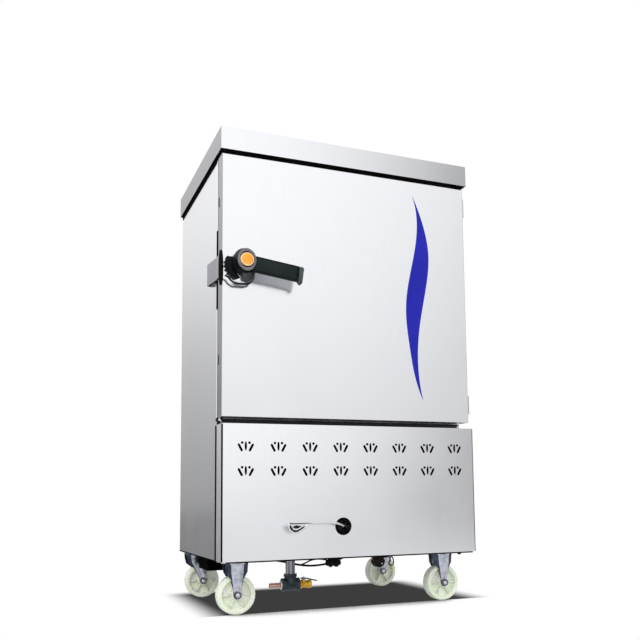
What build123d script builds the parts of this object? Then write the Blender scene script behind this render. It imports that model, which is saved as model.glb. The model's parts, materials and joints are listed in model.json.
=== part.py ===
from build123d import *
import math
import os

# Rice steamer cabinet, in millimetres. X runs along the front, with 0 at the middle of the body.
# Y runs back from the front face of the door. Z is up from the floor.

# Shell of the cabinet, built round the chamber and its trays
SIDE_WALL = 42.0
REAR_WALL = 43.0
DOOR_DEPTH = 46.0
GASKET_GAP = 10.0
CASTOR_HEIGHT = 140.0
LOWER_BOX_HEIGHT = 345.0
DOOR_GAP = 18.0
DOOR_SPARE = 84.0
NECK_GAP = 8.0
COVER_HEIGHT = 60.0
COVER_SIDE_LAP = 6.0
COVER_FRONT_LAP = 11.0
COVER_REAR_LAP = 12.0

# Sheet metal
SHEET = 1.0
FRAME_SHEET = 1.5
BEND_RADIUS = 2.0
FLANGE = 22.0
FIT = 0.3

# Base frame
CHANNEL_HEIGHT = 40.0
POST_WIDTH = 28.0
HEADER_HEIGHT = 30.0

# Lower front panel and its vents
PANEL_FRONT = 16.0
PANEL_RETURN = 12.0
VENT_COLUMNS = 8
VENT_MARGIN = 59.7
VENT_TOP_ROW = 57.0
VENT_ROW_PITCH = 62.0
VENT_SLOT_LENGTH = 22.0
VENT_SLOT_WIDTH = 6.3
VENT_SLOT_TILT = 28.0
VENT_SLOT_OFFSET = (14.3, -4.2)
VENT_DOT_OFFSET = (9.4, 8.0)
VENT_DOT_RADIUS = 3.4

# Gas lever and the hole that it comes out of
GAS_X = -38.0
GAS_RISE = 80.0
GAS_HOLE_RADIUS = 23.0
GAS_ROD_RADIUS = 2.8
GAS_LEVER_REACH = 128.0
GAS_LEVER_STAND = 24.0

# Chamber
CHAMBER_FLOOR_RISE = 17.0
CHAMBER_TOP_WALL = 34.0
CHAMBER_CORNER = 10.0
STEAM_SLOT = (420.0, 240.0)
STEAM_DROP = 132.0
STEAM_PIPE_RADIUS = 9.5
STEAM_NIPPLE_RADIUS = 11.0
PIPE_WALL = 1.5
NIPPLE_NUT = 4.0
NIPPLE_BACK = 6.0

# Trays and racks
TRAY_LEVELS = 8
TRAY_PITCH = 76.0
TRAY_FIRST = 24.0
TRAYS_LOADED = (0, 2, 4, 6)
TRAY_WIDTH = 600.0
TRAY_DEPTH = 400.0
TRAY_HEIGHT = 48.0
TRAY_TAPER = 4.0
TRAY_RIM = 4.0
TRAY_SIDE_ROOM = 18.0
TRAY_END_ROOM = 20.5
RUNNER_WIDTH = 24.0
RUNNER_THICK = 3.0

# Door hinges
HINGE_LENGTH = 52.0
HINGE_RADIUS = 5.1
HINGE_CLEAR = 0.4
HINGE_DEPTH = 14.0
HINGE_INSET = 52.0
PIN_RADIUS = 3.0
PIN_FIT = 0.08

# Latch
HUB_INSET = 52.5
HUB_RISE = 396.0
HUB_RADII = (25.0, 30.0)
HUB_REAR = 20.4
HUB_FRONT = 53.0
RING_DEPTH = 3.0
CAP_RADIUS = 17.5
LEVER_TIP = 152.5
LEVER_HEIGHT = 42.0
LEVER_DEPTH = 15.0
LEVER_TILT = 7.4
PIVOT_RADIUS = 9.0
KEEPER_RADIUS = 6.0
KEEPER_TIP_RADIUS = 3.0
KEEPER_TAPER = 22.0
KEEPER_LENGTH = 93.0
KEEPER_DROP = 62.0
KEEPER_PLATE = (-33.0, 26.0)
KEEPER_SCREWS = (-18.0, 11.0)
KEEPER_CLEAR = 1.3

# Stripe on the door, with its gaps from the door's lower and upper edges
STRIPE_DEPTH = 0.4
STRIPE_LOW = 59.1
STRIPE_TOP = 40.4

# Plugs in the door's left edge
PLUG = (4.0, 22.0)
PLUG_INSET = 11.0
PLUG_RISES = (569.0, 149.0)

# Castors
WHEEL_RADIUS = 50.0
WHEEL_WIDTH = 32.0
AXLE_RADIUS = 6.0
AXLE_FIT = 0.1
FORK_SHEET = 2.5
FORK_GAP = 38.0
CASTOR_INSET = 59.0
FRONT_CASTOR_BACK = 84.0
REAR_CASTOR_BACK = 40.0
REAR_CASTOR_INSET = 40.0
SWIVEL_TRAIL = 20.0
PLATE = (92.0, 64.0)
REAR_PLATE = (64.0, 76.0)
PLATE_SHEET = 3.0

# Drain
DRAIN_X = -114.0
DRAIN_Y = 200.0
DRAIN_RADIUS = 13.3
DRAIN_WALL = 2.6
TEE_RISE = 54.0

# Water tank, as gaps from the chamber's inner faces, and its depth under the body's header
TANK_SIDE_ROOM = 28.0
TANK_FRONT_ROOM = 40.0
TANK_REAR_ROOM = 20.0
TANK_DROP = 130.0
TANK_SHEET = 1.2
TANK_FLANGE = 12.0

# Gas, water and ignition
PIPE_RADIUS = 6.8
SOLENOID_INSET = 105.0
SOLENOID_BACK = 140.0
WATER_INSET = 110.0
WATER_DROP = 60.0
WATER_PIPE_RADIUS = 8.5
WATER_NIPPLE_RADIUS = 10.0
IGNITER_INSET = 59.0
IGNITER_BACK = 240.0
IGNITER_SIDES = (-24.0, 51.0)
IGNITER_DEPTH = 125.0
GLAND_BACK = 25.0
LEAD_RADIUS = 3.0

# Places worked out from the sizes above
CHAMBER_WIDTH = TRAY_WIDTH + 2 * TRAY_SIDE_ROOM
CHAMBER_DEPTH = TRAY_DEPTH + 2 * TRAY_END_ROOM
BODY_WIDTH = CHAMBER_WIDTH + 2 * SIDE_WALL
BODY_DEPTH = CHAMBER_DEPTH + REAR_WALL
DOOR_HEIGHT = TRAY_LEVELS * TRAY_PITCH + DOOR_SPARE
HALF = BODY_WIDTH / 2
BODY_FRONT = DOOR_DEPTH + GASKET_GAP
BODY_REAR = BODY_FRONT + BODY_DEPTH
BASE_Z = CASTOR_HEIGHT
HEADER_Z = BASE_Z + LOWER_BOX_HEIGHT
DOOR_Z = HEADER_Z + DOOR_GAP
BODY_TOP = DOOR_Z + DOOR_HEIGHT
SKIRT_Z = BODY_TOP + NECK_GAP
COVER_TOP = SKIRT_Z + COVER_HEIGHT
CHAMBER_HALF = CHAMBER_WIDTH / 2
CHAMBER_Z = DOOR_Z + CHAMBER_FLOOR_RISE
CHAMBER_TOP = BODY_TOP - CHAMBER_TOP_WALL
FRAME_BACK = BODY_FRONT + 1.2
CHAMBER_REAR = FRAME_BACK + CHAMBER_DEPTH
GAS_Z = BASE_Z + GAS_RISE
VENT_PITCH = (BODY_WIDTH - 2 * VENT_MARGIN) / (VENT_COLUMNS - 1)
HUB = (-HALF + HUB_INSET, DOOR_Z + HUB_RISE)
HINGE_X = HALF - SHEET + HINGE_CLEAR + HINGE_RADIUS
HINGE_Z = (DOOR_Z + HINGE_INSET, BODY_TOP - HINGE_INSET)
CASTOR_X = HALF - CASTOR_INSET
REAR_CASTOR_X = HALF - REAR_CASTOR_INSET
REAR_CASTOR_Y = BODY_REAR - REAR_CASTOR_BACK
SOLENOID_X = HALF - SOLENOID_INSET
SOLENOID_Y = BODY_REAR - SOLENOID_BACK
WATER_X = -HALF + WATER_INSET
WATER_Z = HEADER_Z - WATER_DROP
STEAM_Z = BODY_TOP - STEAM_DROP
IGNITER_X = -HALF + IGNITER_INSET
IGNITER_Y = BODY_REAR - IGNITER_BACK
GLAND_Y = IGNITER_Y + GLAND_BACK
PAN_TOP = BASE_Z + FRAME_SHEET
DOOR_HALF = HALF - SHEET
KEEPER_X = -HALF - KEEPER_RADIUS - 0.2
FRONT_REACH = HUB_FRONT + RING_DEPTH + 3.0
REAR_REACH = BODY_REAR + 30.0
LEFT_REACH = -KEEPER_X + KEEPER_RADIUS
RIGHT_REACH = HINGE_X + HINGE_RADIUS
MIDDLE = (-(RIGHT_REACH - LEFT_REACH) / 2, -(REAR_REACH - FRONT_REACH) / 2, 0)


def save(shape, name):
    """Write one node, moved so that the origin is under the middle of the whole."""
    export_step(Pos(*MIDDLE) * shape, f"parts/{name}.step")


def block(x, y, z):
    """A box between the two ends given for each axis."""
    centre = Pos((x[0] + x[1]) / 2, (y[0] + y[1]) / 2, (z[0] + z[1]) / 2)
    return centre * Box(x[1] - x[0], y[1] - y[0], z[1] - z[0])


def rod(start, direction, radius, length):
    """A round bar from a point along a direction."""
    low = (Align.CENTER, Align.CENTER, Align.MIN)
    return Plane(origin=start, z_dir=direction) * Cylinder(radius, length, align=low)


def hexagon(start, direction, across, length):
    """A hexagon bar, as on a bolt's head or a nut."""
    face = Plane(origin=start, z_dir=direction) * RegularPolygon(across / 2, 6, major_radius=False)
    return extrude(face, amount=length)


def mirrored(shape):
    """The same shape on the other side of the cabinet's middle plane."""
    return mirror(shape, about=Plane.YZ)


def front_plane(y, x=0.0, z=0.0):
    """A plane that faces the viewer, with its outline drawn in X and Z."""
    return Plane(origin=(x, y, z), x_dir=(1, 0, 0), z_dir=(0, -1, 0))


def folded(points, thickness, radius, z):
    """Sheet folded along an outline in plan, standing between two heights."""
    line = FilletPolyline(*points, radius=radius)
    return extrude(Pos(0, 0, z[0]) * trace(line, line_width=thickness), amount=z[1] - z[0])


def tube(points, radius, bend, bore=0.0):
    """A pipe or lead along straight runs joined by arcs."""
    path = FilletPolyline(*points, radius=bend)
    ring = Circle(radius) - Circle(bore) if bore else Circle(radius)
    start = Plane(origin=path @ 0, z_dir=path % 0)
    return sweep(start * ring, path=path)


def base_frame():
    """Floor pan, side channels, front posts and the header that the lower panel hangs on."""
    inner = HALF - FLANGE - FIT
    pan = block((-inner, inner), (0, BODY_REAR - SHEET - FIT), (BASE_Z, PAN_TOP))
    for hole_y in (120.0, 330.0):
        for hole_x in (-170.0, 90.0):
            slot = Pos(hole_x, hole_y, BASE_Z) * Box(90, 60, 8)
            pan -= slot
    pan -= Pos(DRAIN_X, DRAIN_Y, BASE_Z) * Cylinder(DRAIN_RADIUS + 3.0, 8)
    pan -= Pos(SOLENOID_X, SOLENOID_Y, BASE_Z) * Cylinder(PIPE_RADIUS + 3.0, 8)
    wall = HALF - SHEET
    start = BODY_FRONT + SHEET + BEND_RADIUS
    end = BODY_REAR - SHEET - BEND_RADIUS
    top = BASE_Z + CHANNEL_HEIGHT
    channel = block((wall - FRAME_SHEET, wall), (start, end), (BASE_Z, top))
    channel += block((inner - 1, wall), (start, end), (BASE_Z, PAN_TOP))
    channel += block((wall - FLANGE, wall), (start, end), (top - FRAME_SHEET, top))
    back = BODY_FRONT - SHEET
    post = block((HALF - POST_WIDTH, HALF), (0, back), (BASE_Z, HEADER_Z))
    post = fillet(post.edges().filter_by(Axis.Z), BEND_RADIUS)
    hollow = (HALF - POST_WIDTH + FRAME_SHEET, HALF - FRAME_SHEET)
    post -= block(hollow, (FRAME_SHEET, back - FRAME_SHEET), (PAN_TOP, HEADER_Z - FRAME_SHEET))
    header = block((-HALF + POST_WIDTH, HALF - POST_WIDTH), (0, back), (HEADER_Z - HEADER_HEIGHT, HEADER_Z))
    low = HEADER_Z - HEADER_HEIGHT
    header -= block(
        (-HALF, HALF),
        (FRAME_SHEET, back - FRAME_SHEET),
        (low + FRAME_SHEET, HEADER_Z - FRAME_SHEET),
    )
    return pan + channel + mirrored(channel) + post + mirrored(post) + header


def side_panel():
    """Left side panel, folded inwards at the front, the back and the top."""
    web = -HALF + SHEET / 2
    front = BODY_FRONT + SHEET / 2
    rear = BODY_REAR - SHEET / 2
    turn = -HALF + FLANGE - SHEET / 2
    points = [(turn, front), (web, front), (web, rear), (turn, rear)]
    sheet = folded(points, SHEET, BEND_RADIUS, (BASE_Z, BODY_TOP))
    lip = block((-HALF + SHEET / 2, turn), (front + FIT, rear - FIT), (BODY_TOP - SHEET, BODY_TOP))
    return sheet + lip


def rear_panel():
    """Flat back with a folded edge, and holes for the flue, the steam pipe and the water."""
    x = (-HALF + FIT, HALF - FIT)
    sheet = block(x, (BODY_REAR, BODY_REAR + SHEET), (BASE_Z + SHEET, BODY_TOP - SHEET))
    flue = block((-90, 90), (BODY_REAR - 5, BODY_REAR + 5), (HEADER_Z - 75, HEADER_Z - 25))
    steam = rod((0, BODY_REAR - 5, STEAM_Z), (0, 1, 0), STEAM_PIPE_RADIUS + FIT, 10)
    water = rod((WATER_X, BODY_REAR - 5, WATER_Z), (0, 1, 0), WATER_PIPE_RADIUS + FIT, 10)
    return sheet - flue - steam - water


def rear_nipple(x, start, z, pipe, radius):
    """Pipe through the rear panel, with a nut against the panel and a hose nipple behind it."""
    panel = BODY_REAR + SHEET
    end = REAR_REACH - NIPPLE_BACK
    shape = rod((x, start, z), (0, 1, 0), pipe, panel - start)
    shape += hexagon((x, panel, z), (0, 1, 0), 2 * radius + 6, NIPPLE_NUT)
    return shape + rod((x, panel + NIPPLE_NUT, z), (0, 1, 0), radius, end - panel - NIPPLE_NUT)


def rear_bore(x, start, z, pipe):
    """The bore all along such a pipe and its nipple."""
    return rod((x, start, z), (0, 1, 0), pipe - PIPE_WALL, REAR_REACH - start)


def top_cover():
    """Shallow cap with a deep turned-down skirt on all four sides."""
    x = (-HALF - COVER_SIDE_LAP, HALF + COVER_SIDE_LAP)
    y = (-COVER_FRONT_LAP, BODY_REAR + COVER_REAR_LAP)
    cap = block(x, y, (SKIRT_Z, COVER_TOP))
    cap = fillet(cap.edges().filter_by(Axis.Z), BEND_RADIUS)
    cap = fillet(cap.faces().sort_by(Axis.Z)[-1].edges(), BEND_RADIUS - 0.5)
    hollow = block(
        (x[0] + SHEET, x[1] - SHEET), (y[0] + SHEET, y[1] - SHEET), (SKIRT_Z - 1, COVER_TOP - SHEET)
    )
    return cap - hollow


def neck_seal():
    """Black foam rubber frame between the body and the cover, set back from the panels."""
    outer = HALF - 8.0
    y = (BODY_FRONT + 2.0, BODY_REAR - 8.0)
    z = (BODY_TOP, COVER_TOP - SHEET)
    ring = block((-outer, outer), y, z)
    wide = 14.0
    return ring - block((-outer + wide, outer - wide), (y[0] + wide, y[1] - wide), (z[0] - 1, z[1] + 1))


def front_frame():
    """Flat frame round the mouth of the chamber, between the side panels' flanges."""
    outer = HALF - FLANGE - FIT
    ring = block((-outer, outer), (BODY_FRONT, FRAME_BACK), (HEADER_Z + FIT, BODY_TOP - SHEET - FIT))
    mouth = block(
        (-CHAMBER_HALF, CHAMBER_HALF), (BODY_FRONT - 1, FRAME_BACK + 1), (CHAMBER_Z, CHAMBER_TOP)
    )
    mouth = fillet(mouth.edges().filter_by(Axis.Y), CHAMBER_CORNER)
    return ring - mouth


def sill_strip():
    """Black rubber strip under the door, which sheds the drips that run off it."""
    y = (BODY_FRONT - GASKET_GAP, BODY_FRONT)
    strip = block((-HALF + 2, HALF - 8), y, (HEADER_Z, DOOR_Z - 1.5))
    return fillet(strip.edges().filter_by(Axis.Y), 5.0)


def chamber_liner():
    """Welded inner box with a steam slot in its floor and the steam pipe at its back."""
    x = (-CHAMBER_HALF - SHEET, CHAMBER_HALF + SHEET)
    y = (FRAME_BACK, CHAMBER_REAR + SHEET)
    z = (CHAMBER_Z - SHEET, CHAMBER_TOP + SHEET)
    box = fillet(block(x, y, z).edges().filter_by(Axis.Y), CHAMBER_CORNER + SHEET)
    room = block(
        (-CHAMBER_HALF, CHAMBER_HALF), (FRAME_BACK - 1, CHAMBER_REAR), (CHAMBER_Z, CHAMBER_TOP)
    )
    box -= fillet(room.edges().filter_by(Axis.Y), CHAMBER_CORNER)
    middle = (FRAME_BACK + CHAMBER_REAR) / 2
    box -= Pos(0, middle, CHAMBER_Z) * Box(STEAM_SLOT[0], STEAM_SLOT[1], 8)
    pipe = rear_nipple(0, CHAMBER_REAR, STEAM_Z, STEAM_PIPE_RADIUS, STEAM_NIPPLE_RADIUS)
    return box + pipe - rear_bore(0, CHAMBER_REAR - 2, STEAM_Z, STEAM_PIPE_RADIUS)


def tank_box():
    """Outer ends of the water tank along each axis."""
    side = CHAMBER_HALF - TANK_SIDE_ROOM
    y = (FRAME_BACK + TANK_FRONT_ROOM, CHAMBER_REAR - TANK_REAR_ROOM)
    return (-side, side), y, (HEADER_Z - TANK_DROP, CHAMBER_Z - SHEET)


def wall_insulation():
    """Mineral wool packed between the chamber and the outer panels."""
    x = (-HALF + SHEET + FIT, HALF - SHEET - FIT)
    y = (FRAME_BACK + FIT, BODY_REAR - SHEET - FIT)
    wool = block(x, y, (HEADER_Z, BODY_TOP - SHEET - FIT))
    wool = fillet(wool.edges().filter_by(Axis.Z), BEND_RADIUS + 1)
    wool -= block(
        (-CHAMBER_HALF - SHEET, CHAMBER_HALF + SHEET),
        (FRAME_BACK - 1, CHAMBER_REAR + SHEET),
        (CHAMBER_Z - SHEET, CHAMBER_TOP + SHEET),
    )
    tank = tank_box()
    room = TANK_FLANGE + 2
    wool -= block(
        (tank[0][0] - room, tank[0][1] + room), (tank[1][0] - room, tank[1][1] + room),
        (HEADER_Z - 1, tank[2][1])
    )
    bore = rod((0, CHAMBER_REAR, STEAM_Z), (0, 1, 0), STEAM_PIPE_RADIUS + FIT, REAR_WALL)
    return wool - bore


def level_z(level):
    """Height of the top of a runner."""
    return CHAMBER_Z + TRAY_FIRST + level * TRAY_PITCH


def tray_rack():
    """Left rack: three uprights on the chamber wall, and the flat runners that they carry."""
    wall = -CHAMBER_HALF
    front = (FRAME_BACK + CHAMBER_REAR - TRAY_DEPTH) / 2
    top = level_z(TRAY_LEVELS - 1) + 24
    bars = []
    for place in (0.0, TRAY_DEPTH / 2 - 10, TRAY_DEPTH - 20):
        y = (front + place, front + place + 20)
        bars.append(block((wall, wall + 2), y, (CHAMBER_Z + 12, top)))
    for level in range(TRAY_LEVELS):
        z = level_z(level)
        bars.append(block(
            (wall + 2, wall + RUNNER_WIDTH), (front, front + TRAY_DEPTH), (z - RUNNER_THICK, z)
        ))
    return bars


def rice_tray(level):
    """Pressed tray with tapered walls and a flat rim, resting on its pair of runners."""
    z = level_z(level)
    middle = (FRAME_BACK + CHAMBER_REAR) / 2
    base = Plane(origin=(0, middle, z))
    top = Plane(origin=(0, middle, z + TRAY_HEIGHT))
    low = RectangleRounded(TRAY_WIDTH - 2 * TRAY_TAPER, TRAY_DEPTH - 2 * TRAY_TAPER, 22)
    high = RectangleRounded(TRAY_WIDTH, TRAY_DEPTH, 26)
    outer = loft([base * low, top * high])
    inner_low = RectangleRounded(TRAY_WIDTH - 2 * TRAY_TAPER - 2, TRAY_DEPTH - 2 * TRAY_TAPER - 2, 21)
    inner_high = RectangleRounded(TRAY_WIDTH - 2, TRAY_DEPTH - 2, 25)
    hollow = loft([base.offset(SHEET) * inner_low, top.offset(SHEET) * inner_high])
    rim = RectangleRounded(TRAY_WIDTH + 2 * TRAY_RIM, TRAY_DEPTH + 2 * TRAY_RIM, 30)
    rim -= RectangleRounded(TRAY_WIDTH - 2, TRAY_DEPTH - 2, 25)
    return outer - hollow + extrude(top.offset(-1.5) * rim, amount=1.5)


def water_tank():
    """Open welded tank under the chamber floor, with a flange round its top and a filling nipple."""
    x, y, z = tank_box()
    shell = block(x, y, z)
    shell += block(
        (x[0] - TANK_FLANGE, x[1] + TANK_FLANGE), (y[0] - TANK_FLANGE, y[1] + TANK_FLANGE),
        (z[1] - TANK_SHEET, z[1])
    )
    shell -= block(
        (x[0] + TANK_SHEET, x[1] - TANK_SHEET),
        (y[0] + TANK_SHEET, y[1] - TANK_SHEET),
        (z[0] + TANK_SHEET, z[1] + 1),
    )
    hole = Pos(DRAIN_X, DRAIN_Y, z[0]) * Cylinder(DRAIN_RADIUS - DRAIN_WALL, 6)
    start = y[1] - TANK_SHEET
    shell += rear_nipple(WATER_X, start, WATER_Z, WATER_PIPE_RADIUS, WATER_NIPPLE_RADIUS)
    return shell - hole - rear_bore(WATER_X, start - 1, WATER_Z, WATER_PIPE_RADIUS)


def burner():
    """Cast ring burner on three legs, with a mixing tube that reaches the gas valve's nozzle."""
    x, y, top = GAS_X, 290.0, BASE_Z + 145
    head = Pos(x, y, top - 14) * Cylinder(90, 28)
    for radius in (24, 46, 68):
        head -= Pos(x, y, top - 3) * (Cylinder(radius + 5, 8) - Cylinder(radius - 5, 8))
    for ring in (34, 57, 79):
        head += Pos(x, y, top) * (Cylinder(ring + 4, 6) - Cylinder(ring - 4, 6))
    low = top - 14
    head += rod((x, y - 80, low - 4), (0, -1, 0), 16, 96)
    mouth = 110.0
    bell = Plane(origin=(x, y - 176, low - 4), z_dir=(0, -1, 0)) * Cone(
        16, 26, 24, align=(Align.CENTER, Align.CENTER, Align.MIN)
    )
    head += bell
    head -= rod((x, mouth - 24, low - 4), (0, 1, 0), 11, 110)
    for angle in (30, 150, 270):
        place = (x + 74 * math.cos(math.radians(angle)), y + 74 * math.sin(math.radians(angle)))
        head += rod((place[0], place[1], PAN_TOP), (0, 0, 1), 8, top - 20 - PAN_TOP)
        head += rod((place[0], place[1], PAN_TOP), (0, 0, 1), 14, 5)
    return head


def flue_outlet():
    """Hood over the flue opening in the back, open at its top."""
    x = (-110.0, 110.0)
    z = (HEADER_Z - 90, HEADER_Z + 5)
    y = (BODY_REAR + SHEET, BODY_REAR + 30)
    hood = block(x, y, z)
    hood = chamfer(hood.edges().filter_by(Axis.X).group_by(Axis.Y)[-1].sort_by(Axis.Z)[0], 18)
    inside = block((x[0] + SHEET, x[1] - SHEET), (y[0] - 1, y[1] - SHEET), (z[0] + SHEET, z[1] + 1))
    inside = chamfer(inside.edges().filter_by(Axis.X).group_by(Axis.Y)[-1].sort_by(Axis.Z)[0], 18)
    flange = block((x[0] - 14, x[1] + 14), (y[0], y[0] + SHEET), (z[0] - 14, z[1] + 14))
    opening = block((x[0] + SHEET, x[1] - SHEET), (y[0] - 1, y[1]), (z[0] + 19, z[1] - SHEET))
    return hood - inside + (flange - opening - inside)


def vent_motif():
    """One punched vent: an upright slot, two leaning slots and two round holes."""
    slot = Ellipse(VENT_SLOT_WIDTH / 2, VENT_SLOT_LENGTH / 2 + 0.6)
    for side in (-1, 1):
        lean = Rot(0, 0, 90 + side * -VENT_SLOT_TILT)
        place = Pos(side * VENT_SLOT_OFFSET[0], VENT_SLOT_OFFSET[1])
        slot += place * lean * SlotOverall(VENT_SLOT_LENGTH, VENT_SLOT_WIDTH)
        slot += Pos(side * VENT_DOT_OFFSET[0], VENT_DOT_OFFSET[1]) * Circle(VENT_DOT_RADIUS)
    return slot


def lower_front_panel():
    """Folded front panel with two rows of vents and the gas lever's hole."""
    x = (-HALF, HALF)
    front = -PANEL_FRONT
    panel = block(x, (front, 0), (BASE_Z, HEADER_Z))
    panel = fillet(panel.edges().filter_by(Axis.Z).group_by(Axis.Y)[0], BEND_RADIUS)
    panel = fillet(panel.edges().filter_by(Axis.X).group_by(Axis.Y)[0], BEND_RADIUS - 0.6)
    inside = (HALF - SHEET, BASE_Z + SHEET, HEADER_Z - SHEET)
    panel -= block((-inside[0], inside[0]), (front + SHEET, 1), (inside[1], inside[2]))
    gap = block((-HALF - 1, HALF + 1), (front + PANEL_RETURN, 1), (inside[1], inside[2]))
    panel -= gap
    top_row = HEADER_Z - VENT_TOP_ROW
    left = -VENT_PITCH * (VENT_COLUMNS - 1) / 2
    holes = []
    for row in range(2):
        for column in range(VENT_COLUMNS):
            place = front_plane(front + 3, left + column * VENT_PITCH, top_row - row * VENT_ROW_PITCH)
            holes.append(extrude(place * vent_motif(), amount=8))
    panel -= holes
    return panel - rod((GAS_X, front - 3, GAS_Z), (0, 1, 0), GAS_HOLE_RADIUS, 8)


def gas_valve_body():
    """Brass valve behind the hole: barrel, bonnet towards the front and a nozzle towards the burner."""
    centre = (GAS_X, 45.0, GAS_Z)
    body = Pos(*centre) * Box(26, 30, 26)
    body = chamfer(body.edges().filter_by(Axis.Y), 4)
    body += rod((GAS_X, 30, GAS_Z), (0, -1, 0), 11, 18)
    body += hexagon((GAS_X, 12, GAS_Z), (0, -1, 0), 19, 6)
    body += rod((GAS_X, 60, GAS_Z), (0, 1, 0), 7, 14)
    body += rod((GAS_X + 13, 45, GAS_Z), (1, 0, 0), 9, 12)
    bracket = block((GAS_X - 20, GAS_X + 20), (BODY_FRONT, BODY_FRONT + 2), (PAN_TOP, GAS_Z + 20))
    bracket += block((GAS_X - 20, GAS_X + 20), (BODY_FRONT, BODY_FRONT + 24), (PAN_TOP, PAN_TOP + 2))
    body += bracket
    stem = rod((GAS_X, 0, GAS_Z), (0, 1, 0), GAS_ROD_RADIUS + AXLE_FIT, 26)
    return body - stem


def gas_pipe():
    """Steel pipe from the solenoid up through the floor pan and forward to the valve."""
    height = GAS_Z
    points = [
        (SOLENOID_X, SOLENOID_Y, BASE_Z - 4),
        (SOLENOID_X, SOLENOID_Y, height),
        (SOLENOID_X, 45, height),
        (GAS_X + 25, 45, height),
    ]
    return tube(points, PIPE_RADIUS, 30, PIPE_RADIUS - 1.5)


def solenoid():
    """Gas solenoid block under the floor pan, with its coil and the inlet nipple at the back."""
    z = (BASE_Z - 48, BASE_Z)
    body = block((SOLENOID_X - 30, SOLENOID_X + 14), (SOLENOID_Y - 30, SOLENOID_Y + 26), (z[0] + 10, z[1]))
    body = chamfer(body.edges().filter_by(Axis.Z), 3)
    coil = Pos(SOLENOID_X - 10, SOLENOID_Y - 6, z[0] + 5) * Cylinder(19, 10)
    body += coil
    inlet = rod((SOLENOID_X, SOLENOID_Y + 26, BASE_Z - 20), (0, 1, 0), 8, BODY_REAR - 20 - SOLENOID_Y - 26)
    body += inlet
    body += rod((SOLENOID_X, BODY_REAR - 20, BASE_Z - 20), (0, 1, 0), 6.5, 50)
    body -= rod((SOLENOID_X, SOLENOID_Y + 40, BASE_Z - 20), (0, 1, 0), 4, 200)
    return body - rod((SOLENOID_X, SOLENOID_Y, BASE_Z - 4), (0, 0, 1), PIPE_RADIUS, 10)


def igniter_box():
    """Ignition box under the left side of the floor pan, with the lead's gland on its right side."""
    left, right = IGNITER_X + IGNITER_SIDES[0], IGNITER_X + IGNITER_SIDES[1]
    body = block((left, right), (IGNITER_Y, IGNITER_Y + IGNITER_DEPTH), (BASE_Z - 46, BASE_Z))
    body = fillet(body.edges().filter_by(Axis.Z), 4)
    return body + rod((right, GLAND_Y, BASE_Z - 20), (1, 0, 0), 6.5, 10)


def lead_points():
    """Route of the ignition lead: box gland, a hanging bow, junction block, solenoid."""
    gland = IGNITER_X + IGNITER_SIDES[1] + 10
    first = [
        (gland, GLAND_Y, BASE_Z - 20),
        (gland + 40, GLAND_Y, BASE_Z - 20),
        (gland + 87, GLAND_Y - 13, BASE_Z - 21),
        (gland + 139, GLAND_Y - 22, BASE_Z - 30),
        (gland + 189, GLAND_Y - 25, BASE_Z - 43),
        (gland + 239, GLAND_Y - 25, BASE_Z - 47),
        (gland + 275, GLAND_Y - 25, BASE_Z - 42),
    ]
    second = [
        (gland + 313, GLAND_Y - 25, BASE_Z - 31),
        (gland + 354, GLAND_Y - 19, BASE_Z - 18),
        (gland + 397, GLAND_Y + 5, BASE_Z - 16),
        (gland + 429, GLAND_Y + 47, BASE_Z - 20),
        (gland + 451, GLAND_Y + 71, BASE_Z - 24),
        (SOLENOID_X - 30, SOLENOID_Y - 4, BASE_Z - 24),
    ]
    return first, second


def bend_radii(points):
    """The largest radius that each corner of a lead's route has room for."""
    radii = []
    for before, corner, after in zip(points, points[1:], points[2:]):
        run_in = Vector(*corner) - Vector(*before)
        run_out = Vector(*after) - Vector(*corner)
        turn = math.radians(run_in.get_angle(run_out))
        radii.append(0.45 * min(run_in.length, run_out.length) / math.tan(turn / 2))
    return radii


def igniter_lead():
    """The two lengths of lead, held by their glands, clips and the junction block."""
    leads = []
    for points in lead_points():
        radii = bend_radii(points)
        leads.append(tube(points, LEAD_RADIUS, radii))
        print("lead radii", [round(r) for r in radii], "volume", round(leads[-1].volume))
        path = FilletPolyline(*points, radius=radii)
        print("section by length", round(math.pi * LEAD_RADIUS**2 * path.length))
    return Compound([leads[0], leads[1]])


def junction_block():
    """Slanted junction block under the pan, which the two leads run into."""
    first, second = lead_points()
    x = (first[-1][0] - 6, second[0][0] + 6)
    plane = front_plane(GLAND_Y - 13)
    outline = Polyline(
        (x[0], BASE_Z), (x[0], BASE_Z - 50), (x[0] + 8, BASE_Z - 53), (x[1], BASE_Z - 38), (x[1], BASE_Z),
        close=True
    )
    body = extrude(plane * make_face(outline), amount=24)
    for points in (first, second):
        body -= tube(points, LEAD_RADIUS + AXLE_FIT, bend_radii(points))
    return body


def lead_clips():
    """Two clips that hang the lead from the floor pan."""
    first, second = lead_points()
    clips = []
    for points in (first, second):
        place = points[2]
        strap = block((place[0] - 4, place[0] + 4), (place[1] - 7, place[1] + 7), (place[2] - 6, BASE_Z))
        clips.append(strap - tube(points, LEAD_RADIUS + FIT, bend_radii(points)))
    return Compound(clips)


def drain_pipe():
    """Steel pipe from the tank's floor down to the tee."""
    top = tank_box()[2][0]
    low = TEE_RISE + 30
    pipe = rod((DRAIN_X, DRAIN_Y, low), (0, 0, 1), DRAIN_RADIUS, top - low)
    return pipe - rod((DRAIN_X, DRAIN_Y, low - 1), (0, 0, 1), DRAIN_RADIUS - DRAIN_WALL, top - low + 2)


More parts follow.
